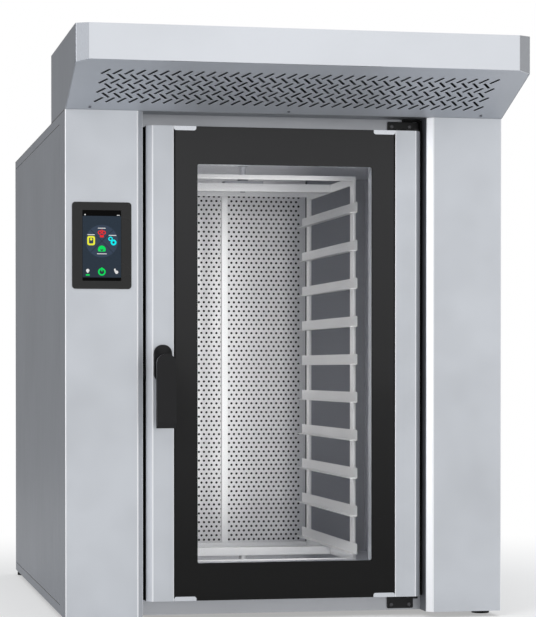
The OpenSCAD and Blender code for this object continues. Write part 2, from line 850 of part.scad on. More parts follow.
module flue_pipe() {
    top_z = body_h + flue_up;
    color([0.7, 0.71, 0.73]) difference() {
        translate([pipe_x, flue_y, 0]) {
            translate([0, 0, ceiling_z]) cylinder(r = flue_body_r, h = top_z - outlet_l - ceiling_z);
            translate([0, 0, top_z - outlet_l - 1]) cylinder(r = flue_r - neck_in, h = neck_h + 2);
            translate([0, 0, top_z - outlet_l + neck_h]) cylinder(r = flue_r, h = outlet_l - neck_h);
        }
        translate([pipe_x, flue_y, ceiling_z - 1])
            cylinder(r = flue_r - flue_t, h = body_h + flue_up - ceiling_z + 2);
        along_x([pipe_x - flue_r - 2, flue_y, flap_z], flap_spindle_r + run_gap, 2 * flue_r + 4);
    }
}

module damper_flap() {
    color([0.6, 0.6, 0.62]) union() {
        translate([pipe_x, flue_y, flap_z - 1]) cylinder(r = flue_r - flue_t - free_gap, h = 2);
        along_x([pipe_x - flue_r - 4, flue_y, flap_z], flap_spindle_r, 2 * flue_r + 4 + 20);
    }
}

module damper_actuator() {
    x0 = pipe_x + flue_r + 6;
    color([0.15, 0.15, 0.16]) difference() {
        block([x0, flue_y - 22, body_h + seat_gap], [x0 + 52, flue_y + 22, flap_z + 10]);
        along_x([x0 - 1, flue_y, flap_z], flap_spindle_r + run_gap, 16);
    }
}

// ---- rack drive ----

// Bearing on the roof and the seal ring under the chamber ceiling
module shaft_bearing() {
    color([0.3, 0.31, 0.33]) translate([0, rack_y, body_h + seat_gap]) difference() {
        union() {
            block([-50, -50, 0], [50, 50, 6]);
            cylinder(r = 34, h = bearing_h);
        }
        translate([0, 0, -1]) cylinder(r = drive_r + run_gap, h = bearing_h + 2);
        for (x = [-38, 38], y = [-38, 38]) translate([x, y, -1]) cylinder(r = 4.5, h = 8);
    }
    color([0.1, 0.1, 0.1]) translate([0, rack_y, ceiling_z - seal_h - seat_gap]) difference() {
        cylinder(r = drive_r + seal_wall, h = seal_h);
        translate([0, 0, -1]) cylinder(r = drive_r + run_gap, h = seal_h + 2);
    }
}

module rack_gearmotor() {
    z0 = body_h + 2 * seat_gap + bearing_h;
    x1 = gear_w / 2;
    ym = rack_y + gear_motor_back;
    color([0.2, 0.28, 0.4]) difference() {
        union() {
            block([-x1, rack_y - x1, z0], [x1, rack_y + gear_tail, z0 + gear_h]);
            along_x([x1, ym, z0 + gear_motor_r], gear_motor_r, gear_l);
            along_x([x1 + gear_l, ym, z0 + gear_motor_r], gear_motor_r + 2, gear_cap_l);
            block([x1 + 12, ym - 20, z0 + 50], [x1 + 12 + gear_box_l, ym + 20, z0 + 50 + gear_box_h]);
        }
        translate([0, rack_y, z0 - 1]) cylinder(r = drive_r + run_gap, h = gear_h + 2);
    }
}

module pivot_plate() {
    color([0.55, 0.55, 0.57]) translate([0, rack_y, floor_z]) union() {
        cylinder(r = 40, h = 4);
        cylinder(r = pivot_r + 3, h = rack_gap_floor - free_gap);
        cylinder(r = pivot_r, h = rack_gap_floor + bar_h + pin_end);
    }
}

module drive_shaft() {
    color([0.7, 0.7, 0.72]) translate([0, rack_y, rack_top_z + 7])
        cylinder(r = drive_r, h = body_h + bearing_h + 50 - rack_top_z);
}

module rack_hanger() {
    color([0.65, 0.66, 0.68]) translate([0, rack_y, rack_top_z + seat_gap]) difference() {
        union() {
            block([-45, -mid_bar_d / 2, 0], [45, mid_bar_d / 2, 5]);
            cylinder(r = drive_r + 5, h = hanger_h);
            translate([0, 0, -bar_h - 2 * seat_gap - pin_end])
                cylinder(r = pivot_r, h = bar_h + 2 * seat_gap + pin_end + 1);
        }
        translate([0, 0, 6]) cylinder(r = drive_r + run_gap, h = hanger_h);
    }
}

// ---- rack ----

module rack_ring(z, end_z) {
    half_l = rack_frame_l / 2;
    side_x = post_x + post_t;
    bar_l = post_x - seat_gap;
    for (side = [-1, 1])
        block([min(side * post_x, side * side_x), rack_y - half_l + post_d + seat_gap, z],
            [max(side * post_x, side * side_x), rack_y + half_l - post_d - seat_gap, z + bar_h]);
    for (y = [rack_y - half_l, rack_y + half_l - end_bar_d])
        block([-bar_l, y, end_z], [bar_l, y + end_bar_d, end_z + end_bar_h]);
}

module mid_bar(z) {
    bar_l = post_x - seat_gap;
    block([-bar_l, rack_y - mid_bar_d / 2, z], [bar_l, rack_y + mid_bar_d / 2, z + bar_h]);
}

module rack_frame() {
    half_l = rack_frame_l / 2;
    top_end_z = rack_top_z - end_bar_h;
    color([0.78, 0.79, 0.8]) {
        rack_ring(rack_z, rack_z);
        rack_ring(top_bar_z, top_end_z);
        for (z = [rack_z, top_bar_z]) difference() {
            mid_bar(z);
            translate([0, rack_y, z - 1]) cylinder(r = pivot_r + run_gap, h = bar_h + 2);
        }
        for (side = [-1, 1], y = [rack_y - half_l, rack_y + half_l - post_d])
            block([min(side * post_x, side * (post_x + post_t)), y, rack_z],
                [max(side * post_x, side * (post_x + post_t)), y + post_d, rack_top_z]);
        block([-stop_bar_w / 2, rack_y + half_l - end_bar_d - runner_t - seat_gap,
                rack_z + end_bar_h + seat_gap],
            [stop_bar_w / 2, rack_y + half_l - seat_gap, top_end_z - seat_gap]);
    }
}

module runner(z) {
    x1 = web_x + runner_t - seat_gap;
    y0 = rack_y - runner_l / 2;
    nose = 12;
    union() {
        block([web_x, y0, z], [x1, y0 + runner_l, z + runner_web]);
        block([web_x - runner_flange, y0 + nose, z], [x1, y0 + runner_l, z + runner_t]);
    }
}

module rack_runners() {
    color([0.72, 0.73, 0.74]) for (i = [0:levels - 1]) {
        runner(level_z + i * level_pitch);
        mirror([1, 0, 0]) runner(level_z + i * level_pitch);
    }
}

// ---- convection fans ----

module fan_wheel(z) {
    y0 = diffuser_y + chamber_t + fan_front;
    y1 = y0 + fan_d;
    shaft_end = motor_plate_y + skin_t + motor_l - 24;
    color([0.72, 0.73, 0.75]) union() {
        along_y([0, y1 - 3, z], fan_r, 3);
        difference() {
            along_y([0, y0, z], fan_r, 2);
            along_y([0, y0 - 1, z], fan_r * 0.72, 4);
        }
        for (i = [0:fan_blades - 1])
            translate([0, 0, z]) rotate([0, i * 360 / fan_blades, 0])
                translate([fan_r * 0.7, 0, 0]) rotate([0, 30, 0])
                    block([0, y0 + 1, -1], [fan_r * 0.24, y1 - 1, 1]);
        along_y([0, y1 - 40, z], fan_shaft_r + 14, 40);
        along_y([0, y1 - 44, z], fan_shaft_r, shaft_end - y1 + 44);
    }
}

module fan_wheel_upper() {
    fan_wheel(fan_z[1]);
}

module fan_wheel_lower() {
    fan_wheel(fan_z[0]);
}

// ---- controls and electrics ----

bezel_x = -body_w / 2 + bezel_in + bezel_w / 2;
bezel_z = body_h - bezel_drop - bezel_h / 2;

module control_bezel() {
    color([0.05, 0.05, 0.06]) translate([bezel_x, -bezel_t, bezel_z]) difference() {
        rounded_plate(bezel_w, bezel_h, bezel_r, bezel_t);
        translate([0, -1, 0]) rounded_plate(screen_w, screen_h, 2, bezel_t + 2);
    }
}

module touch_screen() {
    color([0.1, 0.12, 0.16]) translate([bezel_x, -bezel_t + 0.4, bezel_z])
        rounded_plate(screen_w - 2 * seat_gap, screen_h - 2 * seat_gap, 2, bezel_t + skin_t + 2);
}

module control_box() {
    y0 = skin_t + 2 + seat_gap;
    w = screen_w + 14;
    h = screen_h + 10;
    color([0.2, 0.2, 0.21]) difference() {
        block([bezel_x - w / 2, skin_t, bezel_z - h / 2],
            [bezel_x + w / 2, pillar_return - 2, bezel_z + h / 2]);
        block([bezel_x - screen_w / 2, skin_t - 1, bezel_z - screen_h / 2],
            [bezel_x + screen_w / 2, y0 + 2, bezel_z + screen_h / 2]);
    }
}

module electrical_box() {
    y0 = motor_plate_y + skin_t + seat_gap;
    x1 = gland_x + wiring_side;
    z0 = gland_z + wiring_rise;
    color([0.7, 0.71, 0.72]) union() {
        block([x1 - wiring_w, y0, z0], [x1, y0 + wiring_d, z0 + wiring_h]);
        block([x1 - wiring_w - 2, y0 + wiring_d - 4, z0 - 2], [x1 + 2, y0 + wiring_d + 2, z0 + wiring_h + 2]);
    }
}

module cable_gland() {
    y0 = back_skin_y - 24;
    color([0.1, 0.1, 0.11]) difference() {
        union() {
            along_y([gland_x, y0, gland_z], gland_r + 4, body_d - y0);
            translate([gland_x, back_skin_y - seat_gap, gland_z]) rotate([90, 0, 0])
                cylinder(r = gland_r + 9, h = 7, $fn = 6);
        }
        along_y([gland_x, y0 - 1, gland_z], gland_r, body_d - y0 + 2);
    }
}

// ---- hood ----

// Frame of the hood's slanted underside: X to the right, Y down the slope from the lip
module on_slope() {
    translate([0, -hood_out + skin_t, lip_z]) rotate([-slope_angle, 0, 0]) children();
}

module cheek() {
    y0 = -hood_out + lip_chamfer_y + lip_side;
    y1 = -hood_out + lip_chamfer_y + skin_t;
    z1 = lip_z - (y1 + hood_out - skin_t) * slope[1] / slope[0];
    line = [[y0, hood_top_z], [y0, lip_z - seat_gap], [y1, lip_z - seat_gap], [y1, z1], [0, body_h],
        [hood_back, body_h], [hood_back, hood_top_z]];
    rotate([90, 0, 90]) linear_extrude(height = skin_t) polygon(line);
}

module hood_shell() {
    x0 = body_w / 2 - skin_t;
    x1 = x0 - seat_gap;
    y0 = -hood_out + skin_t + seat_gap;
    z0 = hood_top_z - skin_t;
    cx = lip_chamfer_x - 1;
    color([0.72, 0.73, 0.75]) {
        translate([x0, 0, 0]) cheek();
        translate([-x0 - skin_t, 0, 0]) cheek();
        translate([0, 0, z0]) linear_extrude(height = skin_t) difference() {
            polygon([[-x1 + cx, y0], [x1 - cx, y0], [x1, y0 + lip_chamfer_y], [x1, hood_back],
                [-x1, hood_back],
                [-x1, y0 + lip_chamfer_y]]);
            translate([0, exhaust_y]) circle(r = duct_r + seat_gap);
        }
        block([-x1, hood_back - skin_t, body_h + skin_t + seat_gap], [x1, hood_back, z0 - seat_gap]);
        block([-x1, seat_gap, body_h], [x1, hood_back, body_h + skin_t]);
    }
}

module hood_lip() {
    x1 = body_w / 2;
    y1 = -hood_out + lip_chamfer_y;
    color([0.82, 0.83, 0.85]) translate([0, 0, lip_z])
        folded([[-x1, y1 + lip_side - seat_gap], [-x1, y1], [-x1 + lip_chamfer_x, -hood_out],
            [x1 - lip_chamfer_x, -hood_out], [x1, y1], [x1, y1 + lip_side - seat_gap]], skin_t, lip_h);
}

// Slots of one row, centred on the middle of the hood
module slot_row(count, angle) {
    for (i = [0:count - 1])
        translate([(i - (count - 1) / 2) * slot_pitch, 0]) rotate(angle)
            square([slot_l, slot_w], center = true);
}

module hood_underside() {
    x0 = inner_w / 2 - seat_gap;
    cx = lip_chamfer_x - 1;
    cy = lip_chamfer_y / cos(slope_angle);
    full = floor((inner_w - 100) / slot_pitch);
    count = full - (full + 1) % 2;
    color([0.6, 0.61, 0.63]) on_slope() linear_extrude(height = skin_t) difference() {
        polygon([[-x0 + cx, 0], [x0 - cx, 0], [x0, cy], [x0, slope_l - 1], [-x0, slope_l - 1], [-x0, cy]]);
        for (row = [0:slot_rows - 1])
            translate([0, slot_start + row * slot_row_pitch])
                slot_row(row % 2 == 0 ? count : count - 1, row % 2 == 0 ? -slot_angle : slot_angle);
    }
}

module exhaust_duct() {
    z0 = body_h + skin_t + blower_lift;
    z1 = hood_top_z + seat_gap;
    z2 = z1 + skin_t + neck_h;
    color([0.68, 0.69, 0.71]) translate([0, exhaust_y, 0]) difference() {
        union() {
            translate([0, 0, z0]) cylinder(r = duct_r, h = z1 + skin_t - z0);
            translate([0, 0, z1]) cylinder(r = flange_r, h = skin_t);
            translate([0, 0, z1 + 1]) cylinder(r = exhaust_r - neck_in, h = z2 - z1);
            translate([0, 0, z2]) cylinder(r = exhaust_r, h = hood_top_z + spigot_h - z2);
        }
        translate([0, 0, z0 - 1]) cylinder(r = exhaust_r - exhaust_t, h = hood_top_z + spigot_h - z0 + 2);
    }
}

module blower_motor() {
    z0 = body_h + skin_t;
    color([0.2, 0.2, 0.22]) translate([0, exhaust_y, z0]) difference() {
        union() {
            cylinder(r = blower_r, h = blower_lift + 10);
            for (a = [0:120:359]) rotate(a) block([0, -6, 0], [exhaust_r + 10, 6, 4]);
            for (a = [0:120:359]) rotate(a)
                block([exhaust_r - exhaust_t - 4, -6, 0], [exhaust_r + 10, 6, blower_lift - seat_gap]);
        }
        translate([0, 0, 6]) cylinder(r = blower_shaft_r + run_gap, h = blower_lift + 10);
    }
}

module blower_impeller() {
    z0 = body_h + skin_t;
    tip = exhaust_r - exhaust_t - 3;
    color([0.3, 0.3, 0.32]) translate([0, exhaust_y, z0]) union() {
        translate([0, 0, 8]) cylinder(r = blower_shaft_r, h = blower_lift + 30);
        translate([0, 0, blower_lift + 14]) cylinder(r = impeller_hub_r, h = impeller_hub_h);
        for (a = [0:51.43:359]) rotate(a) translate([0, 0, blower_lift + 32]) rotate([blade_angle, 0, 0])
            block([impeller_hub_r - 4, -blade_w / 2, -1], [tip - 3, blade_w / 2, 1]);
    }
}

// ---- door ----

// Profile on the right; its line runs from the glass round to the back of the door
module profile_shape() {
    x1 = door_w / 2;
    x0 = x1 - door_chamfer - profile_w;
    translate([0, 0, door_z])
        folded([[x0, glass_y + glass_t], [x0, door_setback], [x1 - door_chamfer, door_setback],
            [x1, door_setback + door_chamfer], [x1, door_back_y]], door_skin, door_h);
}

module door_profile_right() {
    color([0.77, 0.78, 0.8]) profile_shape();
}

module door_profile_left() {
    color([0.77, 0.78, 0.8]) difference() {
        mirror([1, 0, 0]) profile_shape();
        along_y([spindle_x, door_setback - 1, spindle_z], spindle_r + free_gap, door_skin + 2);
        hook_window(-door_w / 2 - 1, -door_w / 2 + 4);
    }
}

// Window in the door's left edge that the latch hook swings through
module hook_window(x0, x1) {
    block([x0, hook_y - 2, spindle_z - hook_r], [x1, hook_y + hook_t + 1, spindle_z + 14]);
}

// End cap of the pan: it closes the profiles at the door's top and bottom
module pan_cap(z) {
    x1 = pan_x;
    x2 = glass_w / 2 + door_skin + seat_gap;
    y0 = door_setback + door_skin + seat_gap;
    c = pan_fold;
    translate([0, 0, z]) linear_extrude(height = door_skin) union() {
        polygon([[-x1, door_back_y - seat_gap], [-x1, pan_y + c], [-x1 + c, pan_y], [x1 - c, pan_y],
            [x1, pan_y + c], [x1, door_back_y - seat_gap]]);
        for (side = [-1, 1]) polygon([[side * x2, y0], [side * (x1 - c - pan_y + y0), y0],
            [side * (x1 - c), pan_y + 0.01], [side * x2, pan_y + 0.01]]);
    }
}

// Folded pan behind the glass and the profiles, open to the front
module door_pan() {
    x1 = pan_x;
    xc = pan_x - pan_fold;
    wx = window_w / 2;
    wz0 = door_z + window_end;
    wz1 = door_top_z - window_end;
    y1 = door_back_y - seat_gap;
    t = door_skin;
    color([0.66, 0.67, 0.69]) difference() {
        union() {
            translate([0, 0, door_z]) folded([[xc, pan_y], [x1, pan_y + pan_fold], [x1, y1], [-x1, y1],
                [-x1, pan_y + pan_fold], [-xc, pan_y]], t, door_h);
            pan_cap(door_z);
            pan_cap(door_top_z - t);
            difference() {
                block([-wx - t, pan_y, wz0 - t], [wx + t, y1, wz1 + t]);
                block([-wx, pan_y - 1, wz0], [wx, y1 + 1, wz1]);
            }
            for (z = [door_z, door_top_z - pin_in_door - 4])
                translate([hinge_x, hinge_y, z]) cylinder(r = hinge_pin_r + 2.5, h = pin_in_door + 4);
        }
        block([-wx, pan_y - 1, wz0], [wx, y1 + 1, wz1]);
        translate([hinge_x, hinge_y, door_z - 1]) cylinder(r = hinge_pin_r + run_gap, h = pin_in_door + 2);
        translate([hinge_x, hinge_y, door_top_z - pin_in_door - 1])
            cylinder(r = hinge_pin_r + run_gap, h = pin_in_door + 2);
        hook_window(-x1 - 1, -x1 + 4);
    }
}

module door_glass_outer() {
    x1 = glass_w / 2 - seat_gap;
    color([0.1, 0.1, 0.11, 0.6]) block([-x1, glass_y, door_z], [x1, glass_y + glass_t, door_top_z]);
}

module door_glass_inner() {
    x1 = window_w / 2 - seat_gap;
    y1 = door_back_y - 3;
    color([0.3, 0.32, 0.33, 0.4]) block([-x1, y1 - inner_glass_t, door_z + window_end + seat_gap],
        [x1, y1, door_top_z - window_end - seat_gap]);
}

// Clips that hold the outer glass at its corners
module glass_clips() {
    r = clip_corner;
    x1 = glass_w / 2 - seat_gap;
    x0 = x1 - clip_w;
    y0 = glass_y - clip_t - seat_gap / 2;
    color([0.8, 0.81, 0.83]) for (side = [0, 1], end = [0, 1])
        mirror([side, 0, 0]) translate([0, 0, end * (door_z + door_top_z)]) mirror([0, 0, end])
            translate([0, y0 + clip_t, door_z]) rotate([90, 0, 0]) linear_extrude(height = clip_t) hull() {
                translate([x0, 0]) square([clip_w, clip_h - r]);
                for (x = [x0 + r, x1 - r]) intersection() {
                    translate([x, clip_h - r]) circle(r = r);
                    translate([x0, 0]) square([clip_w, clip_h]);
                }
            }
}

// ---- handle ----

module handle_rose() {
    y0 = door_setback - rose_t - seat_gap / 2;
    color([0.07, 0.07, 0.08]) difference() {
        union() {
            translate([spindle_x, y0, spindle_z]) rounded_plate(rose_w, rose_h, rose_w / 2 - 1, rose_t);
            along_y([spindle_x, y0 - 3, spindle_z], rose_w / 2 - 5, 4);
        }
        along_y([spindle_x, y0 - 4, spindle_z], spindle_r + run_gap, rose_t + 6);
    }
}

module handle_lever() {
    bevel = 12;
    r = lever_w / 2;
    neck_r = spindle_r + 6;
    color([0.06, 0.06, 0.07]) translate([spindle_x, lever_y - lever_t, spindle_z]) difference() {
        union() {
            rotate([-90, 0, 0]) cylinder(r = r, h = lever_t);
            block([-r, 0, -lever_l + bevel], [r, lever_t, 0]);
            translate([-r, 0, 0]) rotate([90, 0, 90]) linear_extrude(height = lever_w)
                polygon([[0, -lever_l + bevel], [lever_t, -lever_l + bevel], [lever_t, -lever_l],
                    [bevel / 2, -lever_l]]);
            along_y([0, 0, 0], neck_r, lever_t + lever_stand - rose_t - 3 - free_gap);
        }
        along_y([0, 4, 0], spindle_r + run_gap, lever_t + lever_stand);
    }
}

module handle_spindle() {
    y0 = lever_y - lever_t + 4 + seat_gap;
    color([0.6, 0.6, 0.62]) along_y([spindle_x, y0, spindle_z], spindle_r, hook_y + hook_t + 2 - y0);
}

// Hook plate; its nose points to the pillar at rest and turns down with the lever
module latch_hook() {
    color([0.55, 0.55, 0.57]) translate([spindle_x, hook_y, spindle_z]) difference() {
        union() {
            rotate([-90, 0, 0]) cylinder(r = spindle_r + 8, h = hook_t);
            block([-hook_r, 0, -5], [0, hook_t, 5]);
        }
        along_y([0, -1, 0], spindle_r + run_gap, hook_t + 2);
    }
}

stand() feet();
stand() chassis_frame();
stand() pillar_left();
stand() pillar_right();
stand() side_panel_left();
stand() side_panel_right();
stand() back_panel();
stand() roof_panel();
stand() front_bulkhead();
stand() door_gasket();
stand() hinge_side_seal();
stand() hinge_brackets();
stand() hinge_pins();
stand() fixing_screws();
stand() latch_keeper();
stand() chamber_shell();
stand() air_diffuser();
stand() duct_side_panels();
stand() insulation();
stand() motor_plate();
stand() fan_motors();
stand() heater_rings();
stand() chamber_lamps();
stand() temperature_probe();
stand() steam_pipe();
stand() water_inlet();
stand() drain_pipe();
stand() flue_pipe();
stand() damper_actuator();
stand() shaft_bearing();
stand() rack_gearmotor();
stand() pivot_plate();
stand() control_bezel();
stand() touch_screen();
stand() control_box();
stand() electrical_box();
stand() cable_gland();
stand() hood_shell();
stand() hood_lip();
stand() hood_underside();
stand() exhaust_duct();
stand() blower_motor();
stand() door_pan();
stand() door_profile_left();
stand() door_profile_right();
stand() door_glass_outer();
stand() door_glass_inner();
stand() glass_clips();
stand() handle_rose();
stand() handle_lever();
stand() handle_spindle();
stand() latch_hook();
stand() fan_wheel_upper();
stand() fan_wheel_lower();
stand() blower_impeller();
stand() damper_flap();
stand() rack_frame();
stand() rack_runners();
stand() drive_shaft();
stand() rack_hanger();
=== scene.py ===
import math

import bmesh
import bpy
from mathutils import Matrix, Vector


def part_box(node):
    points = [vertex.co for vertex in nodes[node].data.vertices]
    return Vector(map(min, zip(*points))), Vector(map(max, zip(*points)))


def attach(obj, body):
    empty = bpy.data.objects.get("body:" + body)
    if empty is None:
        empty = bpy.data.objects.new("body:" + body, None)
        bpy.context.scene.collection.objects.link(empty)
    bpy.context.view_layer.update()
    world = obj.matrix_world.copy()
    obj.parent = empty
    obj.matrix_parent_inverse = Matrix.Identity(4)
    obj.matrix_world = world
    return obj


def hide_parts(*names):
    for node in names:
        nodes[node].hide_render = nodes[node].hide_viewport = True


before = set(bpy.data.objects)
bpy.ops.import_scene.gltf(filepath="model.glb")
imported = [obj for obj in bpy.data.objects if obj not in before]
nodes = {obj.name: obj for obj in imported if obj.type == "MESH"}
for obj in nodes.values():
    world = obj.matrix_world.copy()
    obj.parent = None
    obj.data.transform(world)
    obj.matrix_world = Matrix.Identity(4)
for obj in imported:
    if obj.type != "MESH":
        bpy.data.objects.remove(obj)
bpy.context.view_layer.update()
print("frame loaded:", len(nodes), "solids")

scene = bpy.context.scene
scene.view_settings.view_transform = "Standard"

# the drawing's zero is the front of the pillars and the underside of the body
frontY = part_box("pillar_left")[0].y
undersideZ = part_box("pillar_left")[0].z


def place(x, y, z):
    return Vector((x / 1000, frontY + y / 1000, undersideZ + z / 1000))


def placeY(y):
    return place(0, y, 0).y


def placeZ(z):
    return place(0, 0, z).z


# faces and edges are found by their place, within this distance in metres
near = 0.00001


# camera

cameraSettings = {
    "location": (-0.95499, -5.01987, 0.52401),
    "turn": 0.196209,  # to the right, in radians
    "tilt": 0.013382,  # down
    "lens": 129.446,
    "shift": (0.009384, 0.148298),
    "sensor": 36,
    "reach": 200,
}


def addCamera(s):
    data = bpy.data.cameras.new("camera")
    data.lens = s["lens"]
    data.sensor_width = s["sensor"]
    data.shift_x, data.shift_y = s["shift"]
    data.clip_end = s["reach"]
    camera = bpy.data.objects.new("camera", data)
    scene.collection.objects.link(camera)
    camera.location = s["location"]
    camera.rotation_euler = (math.pi / 2 - s["tilt"], 0, -s["turn"])
    scene.camera = camera


addCamera(cameraSettings)


# light and floor

lightSettings = {
    "room": 0.62,  # level of the room's light on matt surfaces
    "lamps": [
        {"name": "softLeft", "at": (-3.2, -4.2, 3.4), "size": 2.6, "power": 70},
        {"name": "softRight", "at": (3.6, -3.4, 2.6), "size": 2.6, "power": 30},
        {"name": "softTop", "at": (0.4, -0.6, 4.2), "size": 3.0, "power": 45},
    ],
    "aim": (0, -0.2, 0.6),
    # seen in mirrors alone
    "glow": {"at": (-5.4, -1.25, 0.7), "aim": (0.3, -0.5, 0.6), "size": 2.8, "power": 44},
    # grey cards that only mirrors see: one for the right-hand chamfers, one for the left side
    "cards": [
        {"name": "cardRight", "at": (3.1, -2.1, 1.5), "turn": (0, 90, 0), "size": 3.0, "level": 0.42},
        {"name": "cardBack", "at": (-4.1, 4.4, 1.8), "turn": (90, 0, 0), "size": 7.0, "level": 0.49},
    ],
    # daylight behind the door's glass, at a place of the drawing
    "window": {"at": (30, 108, 525), "size": (0.31, 0.83), "power": 1.25},
}


def newTree(owner):
    owner.use_nodes = True
    tree = owner.node_tree
    tree.nodes.clear()
    return tree


# 1 for the rays of the camera, of mirrors and of glass
def seenRays(tree):
    path = tree.nodes.new("ShaderNodeLightPath")
    first = tree.nodes.new("ShaderNodeMath")
    first.operation = "MAXIMUM"
    second = tree.nodes.new("ShaderNodeMath")
    second.operation = "MAXIMUM"
    tree.links.new(path.outputs["Is Camera Ray"], first.inputs[0])
    tree.links.new(path.outputs["Is Glossy Ray"], first.inputs[1])
    tree.links.new(first.outputs[0], second.inputs[0])
    tree.links.new(path.outputs["Is Transmission Ray"], second.inputs[1])
    return second.outputs[0]


def addRoom(s):
    world = bpy.data.worlds.new("room")
    scene.world = world
    tree = newTree(world)
    shown = tree.nodes.new("ShaderNodeBackground")
    shown.inputs["Strength"].default_value = 1
    shown.inputs["Color"].default_value = (1, 1, 1, 1)
    light = tree.nodes.new("ShaderNodeBackground")
    light.inputs["Color"].default_value = (0.97, 0.985, 1, 1)
    light.inputs["Strength"].default_value = s["room"]
    mix = tree.nodes.new("ShaderNodeMixShader")
    out = tree.nodes.new("ShaderNodeOutputWorld")
    tree.links.new(seenRays(tree), mix.inputs[0])
    tree.links.new(light.outputs[0], mix.inputs[1])
    tree.links.new(shown.outputs[0], mix.inputs[2])
    tree.links.new(mix.outputs[0], out.inputs[0])
    for lamp in s["lamps"]:
        size = (lamp["size"], lamp["size"])
        soft = addAreaLamp(lamp["name"], "DISK", Vector(lamp["at"]), Vector(s["aim"]), size, lamp["power"])
        soft.visible_glossy = False
    glow = s["glow"]
    size = (glow["size"], glow["size"])
    left = addAreaLamp("glowLeft", "DISK", Vector(glow["at"]), Vector(glow["aim"]), size, glow["power"])
    left.visible_diffuse = False
    window = s["window"]
    at = place(*window["at"])
    addAreaLamp("windowLight", "RECTANGLE", at, at + Vector((0, 1, 0)), window["size"], window["power"])


def addAreaLamp(name, shape, at, aim, size, power):
    data = bpy.data.lights.new(name, "AREA")
    data.shape = shape
    data.size = size[0]
    data.size_y = size[1]
    data.energy = power
    lamp = bpy.data.objects.new(name, data)
    scene.collection.objects.link(lamp)
    lamp.location = at
    lamp.rotation_euler = (aim - at).to_track_quat("-Z", "Y").to_euler()
    lamp.visible_camera = False
    lamp.visible_transmission = False
    return lamp


def addCard(s):
    deselectAll()
    turn = [math.radians(angle) for angle in s["turn"]]
    bpy.ops.mesh.primitive_plane_add(size=s["size"], location=s["at"], rotation=turn)
    card = bpy.context.object
    card.name = s["name"]
    material = bpy.data.materials.new(s["name"])
    tree = newTree(material)
    shade = tree.nodes.new("ShaderNodeEmission")
    shade.inputs["Strength"].default_value = s["level"]
    out = tree.nodes.new("ShaderNodeOutputMaterial")
    tree.links.new(shade.outputs[0], out.inputs[0])
    card.data.materials.append(material)
    card.visible_camera = False
    card.visible_diffuse = False
    card.visible_transmission = False
    card.visible_shadow = False


floorSettings = {
    "radius": 60,
    "grey": 0.93,
    "fade": (0.8, 2.2),  # distances from the middle between which it turns white
    "shadow": 0.4,  # share of plain white beside the oven
    "inMirrors": 0.72,  # level that mirrors see
}


def addFloor(s):
    deselectAll()
    bpy.ops.mesh.primitive_circle_add(vertices=96, radius=s["radius"], fill_type="NGON", location=(0, 0, 0))
    floor = bpy.context.object
    floor.name = "floor"
    material = bpy.data.materials.new("paleFloor")
    tree = newTree(material)
    coords = tree.nodes.new("ShaderNodeTexCoord")
    length = tree.nodes.new("ShaderNodeVectorMath")
    length.operation = "LENGTH"
    fade = tree.nodes.new("ShaderNodeMapRange")
    fade.interpolation_type = "SMOOTHSTEP"
    fade.inputs["From Min"].default_value, fade.inputs["From Max"].default_value = s["fade"]
    fade.inputs["To Min"].default_value = s["shadow"]
    both = tree.nodes.new("ShaderNodeMath")
    both.operation = "MULTIPLY"
    matt = tree.nodes.new("ShaderNodeBsdfDiffuse")
    matt.inputs["Color"].default_value = (s["grey"], s["grey"], s["grey"], 1)
    white = tree.nodes.new("ShaderNodeEmission")
    path = tree.nodes.new("ShaderNodeLightPath")
    level = rangeOf(tree, path.outputs["Is Glossy Ray"], 1, s["inMirrors"], 0, 1)
    tree.links.new(level, white.inputs["Strength"])
    mix = tree.nodes.new("ShaderNodeMixShader")
    out = tree.nodes.new("ShaderNodeOutputMaterial")
    tree.links.new(coords.outputs["Object"], length.inputs[0])
    tree.links.new(length.outputs["Value"], fade.inputs["Value"])
    tree.links.new(fade.outputs[0], both.inputs[0])
    tree.links.new(seenRays(tree), both.inputs[1])
    tree.links.new(both.outputs[0], mix.inputs[0])
    tree.links.new(matt.outputs[0], mix.inputs[1])
    tree.links.new(white.outputs[0], mix.inputs[2])
    tree.links.new(mix.outputs[0], out.inputs[0])
    floor.data.materials.append(material)


# helpers for modelling

def deselectAll():
    if bpy.context.object and bpy.context.object.mode != "OBJECT":
        bpy.ops.object.mode_set(mode="OBJECT")
    bpy.ops.object.select_all(action="DESELECT")


def makeActive(obj):
    deselectAll()
    obj.select_set(True)
    bpy.context.view_layer.objects.active = obj


def editMesh(obj):
    makeActive(obj)
    bpy.ops.object.mode_set(mode="EDIT")


def leaveEdit():
    bpy.ops.object.mode_set(mode="OBJECT")


def midOf(item):
    points = [v.co for v in item.verts]
    return sum(points, Vector()) / len(points)


# whether all corners of an edge lie at one value of x, y or z
def liesAt(edge, axis, value):
    return all(abs(getattr(v.co, axis) - value) < near for v in edge.verts)


def isLevel(edge):
    return abs(edge.verts[0].co.z - edge.verts[1].co.z) < near


def isOpen(edge):
    return len(edge.link_faces) == 1


def chooseAll():
    bpy.ops.mesh.select_all(action="SELECT")


# selects what passes the test, in the mesh that is being edited
def choose(kind, test):
    bpy.ops.mesh.select_mode(type=kind)
    bpy.ops.mesh.select_all(action="DESELECT")
    mesh = bmesh.from_edit_mesh(bpy.context.object.data)
    items = {"VERT": mesh.verts, "EDGE": mesh.edges, "FACE": mesh.faces}[kind]
    for item in items:
        if test(item):
            item.select_set(True)
    mesh.select_flush_mode()
    bmesh.update_edit_mesh(bpy.context.object.data)


def extrudeEdges(move):
    bpy.ops.mesh.extrude_edges_move(TRANSFORM_OT_translate={"value": move})


def extrudeFaces(move):
    bpy.ops.mesh.extrude_region_move(TRANSFORM_OT_translate={"value": move})


